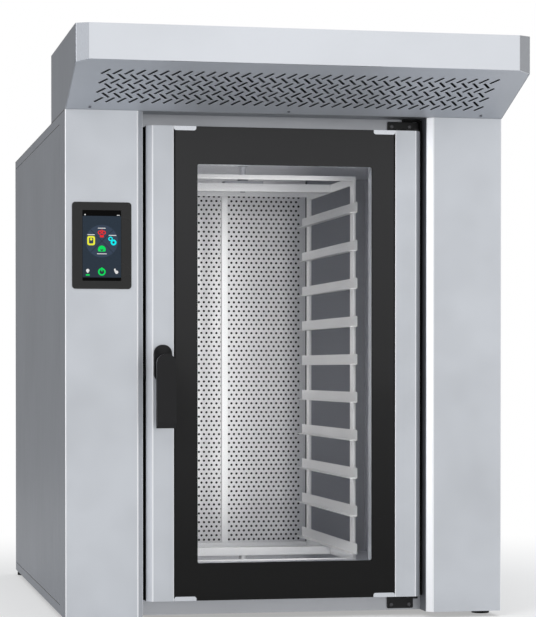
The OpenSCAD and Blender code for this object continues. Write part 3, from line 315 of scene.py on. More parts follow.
# cuts all of the mesh; what lies past the plane goes when one side is cleared
def cut(at, normal, **options):
    chooseAll()
    bpy.ops.mesh.bisect(plane_co=at, plane_no=normal, **options)


# turns the faces of an open sheet to the front
def faceForward(obj):
    chooseAll()
    bpy.ops.mesh.normals_make_consistent(inside=False)
    mesh = bmesh.from_edit_mesh(obj.data)
    if sum(f.normal.y * f.calc_area() for f in mesh.faces) > 0:
        bpy.ops.mesh.flip_normals()


def smooth(obj, degrees):
    makeActive(obj)
    bpy.ops.object.shade_smooth_by_angle(angle=math.radians(degrees))


def applyPlace(obj):
    makeActive(obj)
    bpy.ops.object.transform_apply(location=True, rotation=True, scale=True)


def addModifier(obj, kind, **values):
    modifier = obj.modifiers.new(kind.lower(), kind)
    for key, value in values.items():
        setattr(modifier, key, value)
    return modifier


def applyAll(obj):
    makeActive(obj)
    for modifier in list(obj.modifiers):
        bpy.ops.object.modifier_apply(modifier=modifier.name)


def copyPiece(obj, name, move):
    makeActive(obj)
    bpy.ops.object.duplicate(linked=False)
    twin = bpy.context.object
    twin.name = name
    bpy.ops.transform.translate(value=move)
    applyPlace(twin)
    return twin


def mirrorPiece(obj, name):
    makeActive(obj)
    bpy.ops.object.duplicate(linked=False)
    twin = bpy.context.object
    twin.name = name
    twin.scale.x = -1
    applyPlace(twin)
    editMesh(twin)
    chooseAll()
    bpy.ops.mesh.normals_make_consistent(inside=False)
    leaveEdit()
    return twin


def addBlock(name, low, high):
    deselectAll()
    low, high = place(*low), place(*high)
    bpy.ops.mesh.primitive_cube_add(size=1, location=(low + high) / 2)
    block = bpy.context.object
    block.name = name
    block.scale = high - low
    applyPlace(block)
    return block


def dress(obj, material, body, slotName, *replaced):
    obj.data.materials.clear()
    obj.data.materials.append(material)
    settle(obj, body, slotName, *replaced)


def settle(obj, body, slotName, *replaced):
    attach(obj, body)
    if replaced:
        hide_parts(*replaced)


# materials

def newSurface(name, **values):
    material = bpy.data.materials.new(name)
    tree = newTree(material)
    surface = tree.nodes.new("ShaderNodeBsdfPrincipled")
    surface.name = "surface"
    out = tree.nodes.new("ShaderNodeOutputMaterial")
    tree.links.new(surface.outputs[0], out.inputs[0])
    for key, value in values.items():
        surface.inputs[key.replace("_", " ")].default_value = value
    return material


def noise(tree, scale, detail=2.0, stretch=(1, 1, 1)):
    coords = tree.nodes.new("ShaderNodeTexCoord")
    mapping = tree.nodes.new("ShaderNodeMapping")
    mapping.inputs["Scale"].default_value = stretch
    texture = tree.nodes.new("ShaderNodeTexNoise")
    texture.inputs["Scale"].default_value = scale
    texture.inputs["Detail"].default_value = detail
    tree.links.new(coords.outputs["Object"], mapping.inputs["Vector"])
    tree.links.new(mapping.outputs[0], texture.inputs["Vector"])
    return texture.outputs["Fac"]


def objectAxis(tree, axis):
    coords = tree.nodes.new("ShaderNodeTexCoord")
    split = tree.nodes.new("ShaderNodeSeparateXYZ")
    tree.links.new(coords.outputs["Object"], split.inputs[0])
    return split.outputs[axis]


# the tint, or another colour where the level is 1
def mixedIn(tree, tint, colour, level):
    mix = tree.nodes.new("ShaderNodeMixRGB")
    mix.inputs[2].default_value = (*colour, 1)
    tree.links.new(level, mix.inputs[0])
    tree.links.new(tint, mix.inputs[1])
    return mix.outputs[0]


def rangeOf(tree, value, low, high, start=0.3, end=0.7):
    node = tree.nodes.new("ShaderNodeMapRange")
    node.inputs["From Min"].default_value = start
    node.inputs["From Max"].default_value = end
    node.inputs["To Min"].default_value = low
    node.inputs["To Max"].default_value = high
    tree.links.new(value, node.inputs["Value"])
    return node.outputs[0]


def tintedBy(tree, value, dark, light):
    ramp = tree.nodes.new("ShaderNodeValToRGB")
    ramp.color_ramp.elements[0].position = 0.3
    ramp.color_ramp.elements[0].color = (*dark, 1)
    ramp.color_ramp.elements[1].position = 0.7
    ramp.color_ramp.elements[1].color = (*light, 1)
    tree.links.new(value, ramp.inputs[0])
    return ramp.outputs[0]


def bumpFrom(tree, height, strength, distance):
    bump = tree.nodes.new("ShaderNodeBump")
    bump.inputs["Strength"].default_value = strength
    bump.inputs["Distance"].default_value = distance
    tree.links.new(height, bump.inputs["Height"])
    return bump.outputs[0]


# painted shade behind the air sheet
sheetShade = {"colour": (0.012, 0.011, 0.01), "fade": 0.01}
seamLine = {"colour": (0.004, 0.004, 0.004), "halfWidth": 0.0012}


# painted shade: the steel behind the air sheet is painted near black
def shadedBehindSheet(tree, tint, depth):
    behind = rangeOf(tree, objectAxis(tree, "Y"), 0, 1, depth, depth + sheetShade["fade"])
    return mixedIn(tree, tint, sheetShade["colour"], behind)


# dark joint line at one height
def seamed(tree, tint, height):
    line = tree.nodes.new("ShaderNodeMath")
    line.operation = "COMPARE"
    line.inputs[1].default_value = placeZ(height)
    line.inputs[2].default_value = seamLine["halfWidth"]
    tree.links.new(objectAxis(tree, "Z"), line.inputs[0])
    return mixedIn(tree, tint, seamLine["colour"], line.outputs[0])


# another colour for the faces that don't look along one direction, such as a sheet's cut edges
def turnedAway(tree, tint, across, edgeColour):
    shape = tree.nodes.new("ShaderNodeNewGeometry")
    along = tree.nodes.new("ShaderNodeVectorMath")
    along.operation = "DOT_PRODUCT"
    along.inputs[1].default_value = across
    level = tree.nodes.new("ShaderNodeMath")
    level.operation = "ABSOLUTE"
    edge = tree.nodes.new("ShaderNodeMath")
    edge.operation = "LESS_THAN"
    edge.inputs[1].default_value = 0.6
    tree.links.new(shape.outputs["True Normal"], along.inputs[0])
    tree.links.new(along.outputs["Value"], level.inputs[0])
    tree.links.new(level.outputs[0], edge.inputs[0])
    return mixedIn(tree, tint, edgeColour, edge.outputs[0])


# sheet metal with a fine grain along one axis, a slow mottle and a soft sheen
def grainedSteel(name, s):
    material = newSurface(name, Metallic=s.get("metal", 1.0))
    tree = material.node_tree
    surface = tree.nodes["surface"]
    grain = noise(tree, 1, 3, s["grain"])
    mottle = noise(tree, s.get("mottleScale", 3.5), 2)
    spread = s.get("spread", 0.05)
    colour = Vector(s["colour"])
    dark, light = colour * (1 - spread), colour * (1 + spread)
    tint = tintedBy(tree, mottle, dark, light)
    if "shadeBehindSheet" in s:
        tint = shadedBehindSheet(tree, tint, s["shadeBehindSheet"])
    if "seam" in s:
        tint = seamed(tree, tint, s["seam"])
    if "across" in s:
        tint = turnedAway(tree, tint, s["across"], s["edgeColour"])
    tree.links.new(tint, surface.inputs["Base Color"])
    roughness = s["roughness"]
    sheen = s.get("sheen", 0.06)  # how far the grain changes the roughness
    grainDepth = 0.00008
    tree.links.new(rangeOf(tree, grain, roughness - sheen, roughness + sheen), surface.inputs["Roughness"])
    tree.links.new(bumpFrom(tree, grain, s.get("bump", 0.12), grainDepth), surface.inputs["Normal"])
    return material


# painted, moulded or cast surfaces with a fine skin
def skinned(name, s):
    material = newSurface(name, Metallic=s.get("metal", 0.0), Specular_IOR_Level=s.get("shine", 0.5))
    tree = material.node_tree
    surface = tree.nodes["surface"]
    skin = noise(tree, s.get("scale", 900), 3)
    mottle = noise(tree, 14, 3)
    colour = Vector(s["colour"])
    spread, sheen = 0.15, 0.06
    tint = tintedBy(tree, mottle, colour * (1 - spread), colour * (1 + spread))
    tree.links.new(tint, surface.inputs["Base Color"])
    roughness = s["roughness"]
    tree.links.new(rangeOf(tree, mottle, roughness - sheen, roughness + sheen), surface.inputs["Roughness"])
    tree.links.new(bumpFrom(tree, skin, s.get("bump", 0.25), s.get("depth", 0.0002)), surface.inputs["Normal"])
    return material


upGrain = (900, 900, 14)
sideGrain = (14, 900, 900)
deepGrain = (900, 14, 900)
turnedGrain = (40, 40, 900)
fineGrain = (600, 600, 600)
undersideLooks = (0, -0.3445, -0.9388)  # where the slanted underside of the hood looks

steels = {
    "frontSteel": {"colour": (0.6, 0.624, 0.664), "roughness": 0.28, "metal": 0.5, "grain": upGrain,
                   "bump": 0.0015, "sheen": 0.004, "mottleScale": 7, "spread": 0.06},
    "shadeSteel": {"colour": (0.2, 0.21, 0.235), "roughness": 0.4, "metal": 0.5, "grain": upGrain,
                   "bump": 0.03},
    # painted highlight: a near-white copy of the steel for the bends of folded sheets, the right pillar's
    # chamfer and the right door profile's inner return
    "highlightFold": {"colour": (0.96, 0.97, 1.0), "roughness": 0.3, "metal": 0.35, "grain": upGrain,
                   "bump": 0.004, "sheen": 0.01, "spread": 0.01},
    # painted light: a pale copy of the steel for the left door profile's chamfer
    "litFold": {"colour": (0.9, 0.92, 0.96), "roughness": 0.35, "metal": 0.3, "grain": upGrain,
                 "bump": 0.03},
    # painted shade: a darker copy of the steel for the left pillar's chamfer and the right door profile's
    # chamfer
    "shadedFold": {"colour": (0.52, 0.54, 0.58), "roughness": 0.35, "metal": 0.3, "grain": upGrain,
                 "bump": 0.03},
    # painted shade: a darker copy of the lip's steel for its left chamfer
    "shadedLipFold": {"colour": (0.5, 0.525, 0.57), "roughness": 0.28, "grain": upGrain, "bump": 0.03},
    "lipSteel": {"colour": (0.71, 0.735, 0.78), "roughness": 0.24, "grain": sideGrain, "bump": 0.012,
                 "sheen": 0.02},
    # painted shade: a dark copy of the steel for faces that look sideways, with a dark joint line where the
    # hood meets the body; faces that look elsewhere get a lighter tone
    "shadedSideSteel": {"colour": (0.225, 0.243, 0.278), "roughness": 0.42, "grain": upGrain, "seam": 1046,
                  "across": (1, 0, 0), "edgeColour": (0.45, 0.47, 0.5)},
    # painted shade: a darker copy of the steel for the hood's underside, whose cut edges, such as the walls of
    # its slots, are painted black as the shade in them
    "shadedUndersideSteel": {"colour": (0.5, 0.525, 0.57), "roughness": 0.5, "metal": 0.6, "grain": sideGrain,
                       "across": undersideLooks, "edgeColour": (0.01, 0.01, 0.01)},
    # painted shade: a darker copy of the front steel for the recessed lintel and sill
    "shadedRecessSteel": {"colour": (0.5, 0.512, 0.54), "roughness": 0.42, "metal": 0.75, "grain": sideGrain},
    "roofSteel": {"colour": (0.4, 0.415, 0.44), "roughness": 0.4, "grain": deepGrain},
    # its part behind the air sheet gets painted shade
    "chamberSteel": {"colour": (0.72, 0.73, 0.77), "roughness": 0.38, "metal": 0.3, "grain": upGrain,
                     "bump": 0.05, "shadeBehindSheet": 0.4},
    "ductSteel": {"colour": (0.36, 0.366, 0.39), "roughness": 0.42, "metal": 0.5, "grain": upGrain},
    # dark baked steel of the heaters and fan wheels, also used as painted shade in the holes of the air sheet
    "bakedSteelAndShade": {"colour": (0.016, 0.016, 0.016), "roughness": 0.5, "grain": fineGrain},
    "perforatedSteel": {"colour": (0.82, 0.815, 0.82), "roughness": 0.33, "metal": 0.8, "grain": upGrain,
                        "bump": 0.05},
    "rackSteel": {"colour": (0.91, 0.91, 0.91), "roughness": 0.3, "metal": 0.5, "grain": fineGrain,
                  "bump": 0.002, "sheen": 0.01, "spread": 0.01},
    "runnerSteel": {"colour": (0.9, 0.9, 0.9), "roughness": 0.36, "metal": 0.7, "grain": deepGrain,
                    "bump": 0.03},
    "shaftSteel": {"colour": (0.62, 0.62, 0.63), "roughness": 0.22, "grain": turnedGrain},
    "screwSteel": {"colour": (0.09, 0.09, 0.095), "roughness": 0.3, "grain": fineGrain},
    "darkOxide": {"colour": (0.02, 0.02, 0.022), "roughness": 0.4, "grain": fineGrain},
}

skins = {
    "castAluminium": {"colour": (0.55, 0.56, 0.57), "roughness": 0.42, "metal": 1.0, "scale": 500},
    "greyPaint": {"colour": (0.18, 0.19, 0.2), "roughness": 0.45},
    "bluePaint": {"colour": (0.035, 0.07, 0.15), "roughness": 0.42},
    "blackPaint": {"colour": (0.006, 0.006, 0.007), "roughness": 0.34, "scale": 1400, "bump": 0.08,
                   "shine": 0.3},
    "blackRubber": {"colour": (0.006, 0.006, 0.006), "roughness": 0.6, "shine": 0.15},
    "blackPlastic": {"colour": (0.016, 0.016, 0.018), "roughness": 0.42},
    "bezelGloss": {"colour": (0.012, 0.012, 0.012), "roughness": 0.25, "scale": 120, "bump": 0.02,
                   "shine": 0.35},
    "screenGloss": {"colour": (0.001, 0.001, 0.001), "roughness": 0.12, "scale": 60, "bump": 0.01,
                    "shine": 0.05},
    "copper": {"colour": (0.62, 0.3, 0.16), "roughness": 0.3, "metal": 1.0, "scale": 300, "bump": 0.1},
    "brass": {"colour": (0.6, 0.43, 0.16), "roughness": 0.32, "metal": 1.0, "scale": 400, "bump": 0.1},
}

finishes = {name: grainedSteel(name, s) for name, s in steels.items()}
finishes.update({name: skinned(name, s) for name, s in skins.items()})


def woolMaterial():
    material = newSurface("mineralWool", Roughness=0.95)
    tree = material.node_tree
    surface = tree.nodes["surface"]
    fibres = noise(tree, 90, 8, (1, 3, 6))
    tree.links.new(tintedBy(tree, fibres, (0.34, 0.27, 0.1), (0.6, 0.52, 0.27)), surface.inputs["Base Color"])
    tree.links.new(bumpFrom(tree, fibres, 0.8, 0.002), surface.inputs["Normal"])
    return material


def clearGlass(name, tint, alpha):
    material = newSurface(name, Base_Color=(*tint, 1), Alpha=alpha)
    tree = material.node_tree
    smear = noise(tree, 2.5, 3)
    tree.links.new(rangeOf(tree, smear, 0.02, 0.07), tree.nodes["surface"].inputs["Roughness"])
    return material


# black print behind the outer glass, a little greyer towards the top as painted light
def glassPrintLitTop():
    material = newSurface("glassPrintLitTop", Specular_IOR_Level=0.22)
    tree = material.node_tree
    surface = tree.nodes["surface"]
    ramp = tree.nodes.new("ShaderNodeValToRGB")
    ramp.color_ramp.elements[0].color = (0.001, 0.001, 0.001, 1)
    ramp.color_ramp.elements[1].color = (0.03, 0.03, 0.031, 1)
    tree.links.new(rangeOf(tree, objectAxis(tree, "Z"), 0, 1, 0.05, 1.0), ramp.inputs[0])
    tree.links.new(ramp.outputs[0], surface.inputs["Base Color"])
    smear = noise(tree, 3, 3)
    tree.links.new(rangeOf(tree, smear, 0.04, 0.09), surface.inputs["Roughness"])
    return material


def lampGlass():
    material = newSurface("lampGlass", Base_Color=(0.9, 0.88, 0.8, 1), Roughness=0.3,
                          Emission_Color=(1, 0.93, 0.8, 1), Emission_Strength=0.8)
    tree = material.node_tree
    ribs = noise(tree, 160, 1)
    tree.links.new(bumpFrom(tree, ribs, 0.4, 0.001), tree.nodes["surface"].inputs["Normal"])
    return material


finishes["wool"] = woolMaterial()
for paneName in ("innerGlass", "windowGlass"):
    finishes[paneName] = clearGlass(paneName, (0.05, 0.06, 0.065), 0.02)
finishes["glassPrintLitTop"] = glassPrintLitTop()
finishes["lampGlass"] = lampGlass()

nodeFinish = {
    "feet": "blackRubber", "chassis_frame": "greyPaint", "pillar_left": "frontSteel",
    "pillar_right": "frontSteel", "side_panel_left": "shadedSideSteel", "side_panel_right": "shadedSideSteel",
    "back_panel": "roofSteel",
    "roof_panel": "roofSteel", "front_bulkhead": "shadedRecessSteel", "door_gasket": "blackRubber",
    "hinge_side_seal": "blackRubber", "hinge_brackets": "blackPaint", "hinge_pins": "darkOxide",
    "fixing_screws": "darkOxide", "latch_keeper": "darkOxide", "chamber_shell": "chamberSteel",
    "air_diffuser": "perforatedSteel", "duct_side_panels": "ductSteel", "insulation": "wool",
    "motor_plate": "roofSteel", "fan_motors": "greyPaint", "heater_rings": "bakedSteelAndShade",
    "chamber_lamps": "lampGlass", "temperature_probe": "shaftSteel", "steam_pipe": "copper",
    "water_inlet": "brass", "drain_pipe": "roofSteel", "flue_pipe": "roofSteel",
    "damper_actuator": "blackPlastic", "shaft_bearing": "castAluminium", "rack_gearmotor": "bluePaint",
    "pivot_plate": "rackSteel", "control_bezel": "bezelGloss", "touch_screen": "screenGloss",
    "control_box": "blackPlastic", "electrical_box": "greyPaint", "cable_gland": "blackPlastic",
    "hood_shell": "shadedSideSteel", "hood_lip": "lipSteel", "hood_underside": "shadedUndersideSteel",
    "exhaust_duct": "roofSteel", "blower_motor": "greyPaint", "door_pan": "frontSteel",
    "door_profile_left": "frontSteel", "door_profile_right": "frontSteel", "door_glass_outer": "glassPrintLitTop",
    "door_glass_inner": "innerGlass", "glass_clips": "lipSteel", "handle_rose": "blackPaint",
    "handle_lever": "blackPaint", "handle_spindle": "shaftSteel", "latch_hook": "darkOxide",
    "fan_wheel_upper": "bakedSteelAndShade", "fan_wheel_lower": "bakedSteelAndShade", "blower_impeller": "blackPlastic",
    "damper_flap": "roofSteel", "rack_frame": "rackSteel", "rack_runners": "runnerSteel",
    "drive_shaft": "chamberSteel", "rack_hanger": "ductSteel",
}

softEdges = {  # rounding of the edges of thick solids, in metres
    "handle_lever": 0.0016, "handle_rose": 0.0014, "control_bezel": 0.0008, "rack_frame": 0.0008,
    "rack_gearmotor": 0.003, "damper_actuator": 0.002, "shaft_bearing": 0.001, "latch_keeper": 0.0004,
    "electrical_box": 0.001, "rack_hanger": 0.001, "feet": 0.0015, "glass_clips": 0.0004,
}


def finishSolids():
    for name, obj in nodes.items():
        obj.data.materials.clear()
        obj.data.materials.append(finishes[nodeFinish[name]])
        if name in softEdges:
            addModifier(obj, "WELD", merge_threshold=near)
            addModifier(obj, "BEVEL", width=softEdges[name], segments=3, limit_method="ANGLE",
                        angle_limit=math.radians(40), use_clamp_overlap=True)


addRoom(lightSettings)
addFloor(floorSettings)
for card in lightSettings["cards"]:
    addCard(card)
finishSolids()
print("camera, light, floor and finishes are set")


# folded sheets: a strip follows the line seen from above, rises, is bent at each corner and gets its wall

def foldedSheet(name, line, low, high, s):
    start = 0.01  # side of the plane whose first corner begins the line
    deselectAll()
    bpy.ops.mesh.primitive_plane_add(size=start, location=place(*line[0], low))
    sheet = bpy.context.object
    sheet.name = name
    applyPlace(sheet)
    editMesh(sheet)
    choose("VERT", lambda v: v.index > 0)
    bpy.ops.mesh.delete(type="VERT")
    chooseAll()
    bpy.ops.transform.translate(value=(start / 2, start / 2, 0))
    for here, there in zip(line, line[1:]):
        step = ((there[0] - here[0]) / 1000, (there[1] - here[1]) / 1000, 0)
        bpy.ops.mesh.extrude_vertices_move(TRANSFORM_OT_translate={"value": step})
    chooseAll()
    bpy.ops.mesh.select_mode(type="EDGE")
    extrudeEdges((0, 0, (high - low) / 1000))
    choose("EDGE", lambda e: not isOpen(e))
    bpy.ops.mesh.bevel(offset=s["bend"] / 1000, segments=4, profile=0.5, affect="EDGES")
    faceForward(sheet)
    leaveEdit()
    addModifier(sheet, "SOLIDIFY", thickness=s["wall"] / 1000, offset=-1, use_even_offset=True)
    applyAll(sheet)
    return sheet


# smooth bends, while the flat faces beside them stay flat
def smoothBends(obj):
    smooth(obj, 25)
    addModifier(obj, "WEIGHTED_NORMAL", mode="FACE_AREA", weight=50, keep_sharp=True)
    applyAll(obj)


# a face of a rounded bend, between flat faces that look ahead, sideways or half way
def isBend(face):
    ahead, aside = abs(face.normal.y), abs(face.normal.x)
    return min(ahead, aside) > 0.05 and abs(ahead - aside) > 0.05


# a face on the outermost plane, within 0.1 mm
def isOuterSide(face, outer):
    return abs(face.center.x) > (outer - 0.1) / 1000 and abs(face.normal.x) > 0.99


def isChamfer(face, side):
    return face.normal.y < -0.5 and face.normal.x * side > 0.5


# the first rule that a face passes gives its finish
def finishFaces(obj, rules):
    for name, _ in rules:
        obj.data.materials.append(finishes[name])
    for face in obj.data.polygons:
        for index, (_, test) in enumerate(rules, start=1):
            if test(face):
                face.material_index = index
                break


pillar = {"outer": 464.955, "inner": 314.955, "fold": 12, "back": 60, "side": 45, "height": 1046, "wall": 1.5,
          "bend": 1.8, "screenHole": {"x": (-429.705, -349.705), "z": (695.5, 840.5)}}


def cutScreenHole(sheet, x, z):
    editMesh(sheet)
    for edge in x:
        cut(place(edge, 0, 0), (1, 0, 0))
    for edge in z:
        cut(place(0, 0, edge), (0, 0, 1))
    low, high = place(x[0], -1, z[0]), place(x[1], 4, z[1])
    choose("FACE", lambda f: all(low[i] < midOf(f)[i] < high[i] for i in range(3)))
    bpy.ops.mesh.delete(type="FACE")
    choose("EDGE", isOpen)
    bpy.ops.mesh.bridge_edge_loops()
    leaveEdit()


def makePillars(s):
    line = [(s["inner"] - s["fold"], s["back"]), (s["inner"] - s["fold"], s["fold"]), (s["inner"], 0),
            (s["outer"], 0), (s["outer"], s["side"])]
    right = foldedSheet("pillarRight", line, 0, s["height"], s)
    left = mirrorPiece(right, "pillarLeft")
    cutScreenHole(left, **s["screenHole"])
    dress(right, finishes["frontSteel"], "oven", "brushed", "pillar_right")
    dress(left, finishes["frontSteel"], "oven", "brushed", "pillar_left")
    for piece, inward, fold in ((right, -1, "highlightFold"), (left, 1, "shadedFold")):
        smoothBends(piece)
        # painted light on the pillars: the bends and the right pillar's chamfer get a painted highlight; the
        # outer sides, the left pillar's chamfer and the right pillar's inner return get painted shade
        finishFaces(piece, [
            ("highlightFold", isBend),
            ("shadedSideSteel", lambda f: isOuterSide(f, s["outer"])),
            (fold, lambda f: isChamfer(f, inward)),
            ("shadeSteel", lambda f: f.normal.x < -0.9),
        ])


makePillars(pillar)

profile = {"outer": 293.955, "chamfer": 12, "width": 45, "front": 18, "glassBack": 26, "back": 56,
           "low": 32, "high": 1019, "wall": 1.5, "bend": 1.6}


def makeProfiles(s):
    inner = s["outer"] - s["chamfer"] - s["width"]
    line = [(inner, s["glassBack"]), (inner, s["front"]), (s["outer"] - s["chamfer"], s["front"]),
            (s["outer"], s["front"] + s["chamfer"]), (s["outer"], s["back"])]
    right = foldedSheet("doorProfileRight", line, s["low"], s["high"], s)
    left = mirrorPiece(right, "doorProfileLeft")
    dress(right, finishes["frontSteel"], "door", "brushed", "door_profile_right")
    dress(left, finishes["frontSteel"], "door", "brushed", "door_profile_left")
    # the returns that face the pillars are black; the bends and the right profile's inner return get a painted
    # highlight, the right profile's chamfer painted shade and the left profile's chamfer painted light
    for piece, outward, fold in ((right, 1, "shadedFold"), (left, -1, "litFold")):
        smoothBends(piece)
        finishFaces(piece, [
            ("highlightFold", isBend),
            ("blackRubber", lambda f: isOuterSide(f, s["outer"])),
            (fold, lambda f: isChamfer(f, outward)),
            ("highlightFold", lambda f: f.normal.x < -0.9),
        ])


makeProfiles(profile)

# black plate between the upper bracket and the strip on the hinge side
bracketPlate = {"low": (286.7, 57.5, 1021), "high": (303, 59.9, 1041), "corner": 0.5}


def makeBracketPlate(s):
    plate = addBlock("hinge_bracket_plate", s["low"], s["high"])
    editMesh(plate)
    choose("EDGE", lambda e: liesAt(e, "y", placeY(s["low"][1])))
    bpy.ops.mesh.bevel(offset=s["corner"] / 1000, segments=2, affect="EDGES")
    leaveEdit()
    dress(plate, finishes["blackPaint"], "oven", "black_metal")


makeBracketPlate(bracketPlate)

lip = {"outer": 464.955, "front": -207, "chamfer": (26, 14), "side": 9.8, "low": 1121.4, "high": 1192.4,
       "wall": 1.5, "bend": 1.8, "skirt": 10}


def makeLip(s):
    across, back = s["chamfer"]
    x, y = s["outer"], s["front"]
    half = [(x - across, y), (x, y + back), (x, y + back + s["side"])]
    line = [(-px, py) for px, py in reversed(half)] + half
    piece = foldedSheet("hoodLip", line, s["low"] - s["skirt"], s["high"], s)
    # the lower edge follows the slope of the hood's underside
    editMesh(piece)
    cut(place(0, y, s["low"]), undersideLooks, clear_outer=True, use_fill=True)
    leaveEdit()
    smoothBends(piece)
    dress(piece, finishes["lipSteel"], "oven", "brushed", "hood_lip")
    # painted shade on the lip: its left chamfer and its sides get darker copies of the steel
    finishFaces(piece, [
        ("shadedLipFold", lambda f: f.normal.x < -0.4 and f.normal.y < -0.8),
        ("shadedSideSteel", lambda f: abs(f.normal.x) > 0.7),
    ])


makeLip(lip)
print("folded sheets are made")


# perforated sheet in front of the fans

diffuser = {"half": 232, "front": 884.91, "low": 58.7, "high": 989.8, "flange": 20, "wall": 1.5, "pitch": 12.6,
            "rowPitch": 10.9, "hole": 2.95, "holeCorners": 12, "firstRow": 92.0, "rowPairs": 40, "perSide": 17,
            "weld": 0.05}


# two cells, each a ring of sheet round one hole, the second a row higher and half a pitch aside
def makeHoleCells(s, startX):
    pitch, row = s["pitch"] / 1000, s["rowPitch"] / 1000
    at = place(startX, s["front"], s["firstRow"])
    deselectAll()
    bpy.ops.mesh.primitive_plane_add(size=1, location=at, rotation=(math.pi / 2, 0, 0))
    sheet = bpy.context.object
    sheet.name = "airDiffuser"
    sheet.scale = (pitch, row, 1)
    applyPlace(sheet)
    editMesh(sheet)
    choose("EDGE", isLevel)
    bpy.ops.mesh.subdivide(number_cuts=1)
    chooseAll()
    bpy.ops.mesh.delete(type="ONLY_FACE")
    choose("EDGE", lambda e: liesAt(e, "x", startX / 1000))
    bpy.ops.mesh.delete(type="EDGE")
    bpy.ops.mesh.primitive_circle_add(vertices=s["holeCorners"], radius=s["hole"] / 1000, fill_type="NOTHING",
                                      location=at, rotation=(math.pi / 2, 0, 0))
    bpy.ops.mesh.select_mode(type="EDGE")
    chooseAll()
    bpy.ops.mesh.bridge_edge_loops()
    chooseAll()
    bpy.ops.mesh.duplicate_move(TRANSFORM_OT_translate={"value": (pitch / 2, 0, row)})
    leaveEdit()
    return sheet


def repeatCells(sheet, s):
    steps = (("columns", 2 * s["perSide"] + 3, (s["pitch"] / 1000, 0, 0)),
             ("rows", s["rowPairs"], (0, 0, 2 * s["rowPitch"] / 1000)))
    for name, count, step in steps:
        array = addModifier(sheet, "ARRAY", count=count, use_relative_offset=False, use_constant_offset=True,
                            constant_offset_displace=step)
        array.name = name
    applyAll(sheet)
    editMesh(sheet)
    chooseAll()
    bpy.ops.mesh.remove_doubles(threshold=s["weld"] / 1000)
    leaveEdit()


def makeDiffuser(s):
    pitch, row, y = s["pitch"], s["rowPitch"], s["front"]
    sheet = makeHoleCells(s, -(s["perSide"] + 1) * pitch)
    repeatCells(sheet, s)
    # the pattern ends between the holes, on both sides and above its 79th row
    edge = s["perSide"] * pitch + pitch / 4
    bottomRow = s["firstRow"] - row / 2
    topRow = s["firstRow"] + (2 * s["rowPairs"] - 1.5) * row
    editMesh(sheet)
    for side in (1, -1):
        cut(place(side * edge, y, 0), (side, 0, 0), clear_outer=True)
    cut(place(0, y, topRow), (0, 0, 1), clear_outer=True)
    # plain margins all round
    half = s["half"] / 1000
    for side in (-1, 1):
        choose("EDGE", lambda e: liesAt(e, "x", side * edge / 1000))
        extrudeEdges((side * (half - edge / 1000), 0, 0))
    for level, goal in ((bottomRow, s["low"]), (topRow, s["high"])):
        choose("EDGE", lambda e: liesAt(e, "z", placeZ(level)) and isOpen(e))
        extrudeEdges((0, 0, (goal - level) / 1000))
    # flanges that reach back
    choose("EDGE", lambda e: (liesAt(e, "x", half) or liesAt(e, "x", -half)) and isOpen(e))
    extrudeEdges((0, s["flange"] / 1000, 0))
    faceForward(sheet)
    leaveEdit()
    addModifier(sheet, "SOLIDIFY", thickness=s["wall"] / 1000, offset=-1)
    applyAll(sheet)
    print("perforated sheet:", len(sheet.data.polygons), "faces")
    dress(sheet, finishes["perforatedSteel"], "oven", "bright_steel", "air_diffuser")
    # the walls of the holes and the back are painted near black: painted shade in the holes
    inside = half - s["wall"] / 1000
    finishFaces(sheet, [("bakedSteelAndShade", lambda f: f.normal.y > -0.5 and abs(f.center.x) < inside)])


makeDiffuser(diffuser)


# outer glass of the door, with its printed border

outerGlass = {"half": 236.755, "front": 20, "wall": 6, "low": 32, "high": 1019, "edge": 0.6, "blackStrip": 3.2,
              "window": {"half": 186.955, "low": 110, "high": 941, "corner": 4}}


def addUprightPlane(s, front):
    mid = place(0, front, (s["low"] + s["high"]) / 2)
    bpy.ops.mesh.primitive_plane_add(size=1, location=mid, rotation=(math.pi / 2, 0, 0))
    return mid, (2 * s["half"] / 1000, (s["high"] - s["low"]) / 1000)


def makeOuterGlass(s):
    window = s["window"]
    deselectAll()
    _, (width, height) = addUprightPlane(window, s["front"])
    glass = bpy.context.object
    glass.name = "doorGlassOuter"
    glass.scale = (width, height, 1)
    applyPlace(glass)
    editMesh(glass)
    chooseAll()
    bpy.ops.mesh.bevel(offset=window["corner"] / 1000, segments=5, affect="VERTICES")
    mid, (width, height) = addUprightPlane(s, s["front"])
    bpy.ops.transform.resize(value=(width, 1, height), center_override=mid)
    bpy.ops.mesh.delete(type="ONLY_FACE")
    bpy.ops.mesh.select_mode(type="EDGE")
    chooseAll()
    bpy.ops.mesh.bridge_edge_loops()
    faceForward(glass)
    leaveEdit()
    addModifier(glass, "SOLIDIFY", thickness=s["wall"] / 1000, offset=-1)
    applyAll(glass)
    # rounded rim
    halfX, lowZ, highZ = s["half"] / 1000, placeZ(s["low"]), placeZ(s["high"])
    editMesh(glass)
    choose("EDGE", lambda e: liesAt(e, "y", e.verts[0].co.y)
           and all(abs(abs(v.co.x) - halfX) < near or not lowZ + near < v.co.z < highZ - near for v in e.verts))
    bpy.ops.mesh.bevel(offset=s["edge"] / 1000, segments=2, affect="EDGES")
    # the outermost strip of the glass at each side is black
    blackStripX = s["half"] - s["blackStrip"]
    for side in (-1, 1):
        cut(place(side * blackStripX, 0, 0), (1, 0, 0))
    leaveEdit()
    glass.data.materials.clear()
    glass.data.materials.append(finishes["glassPrintLitTop"])
    paneX, low, high = window["half"] / 1000, placeZ(window["low"]), placeZ(window["high"])
    margin = 0.0001

    def inWindow(face):
        points = [glass.data.vertices[i].co for i in face.vertices]
        return all(abs(p.x) < paneX + margin and low - margin < p.z < high + margin for p in points)

    finishFaces(glass, [("windowGlass", inWindow), ("blackRubber", lambda f: abs(f.center.x) > blackStripX / 1000)])
    settle(glass, "door", "dark_glass", "door_glass_outer")


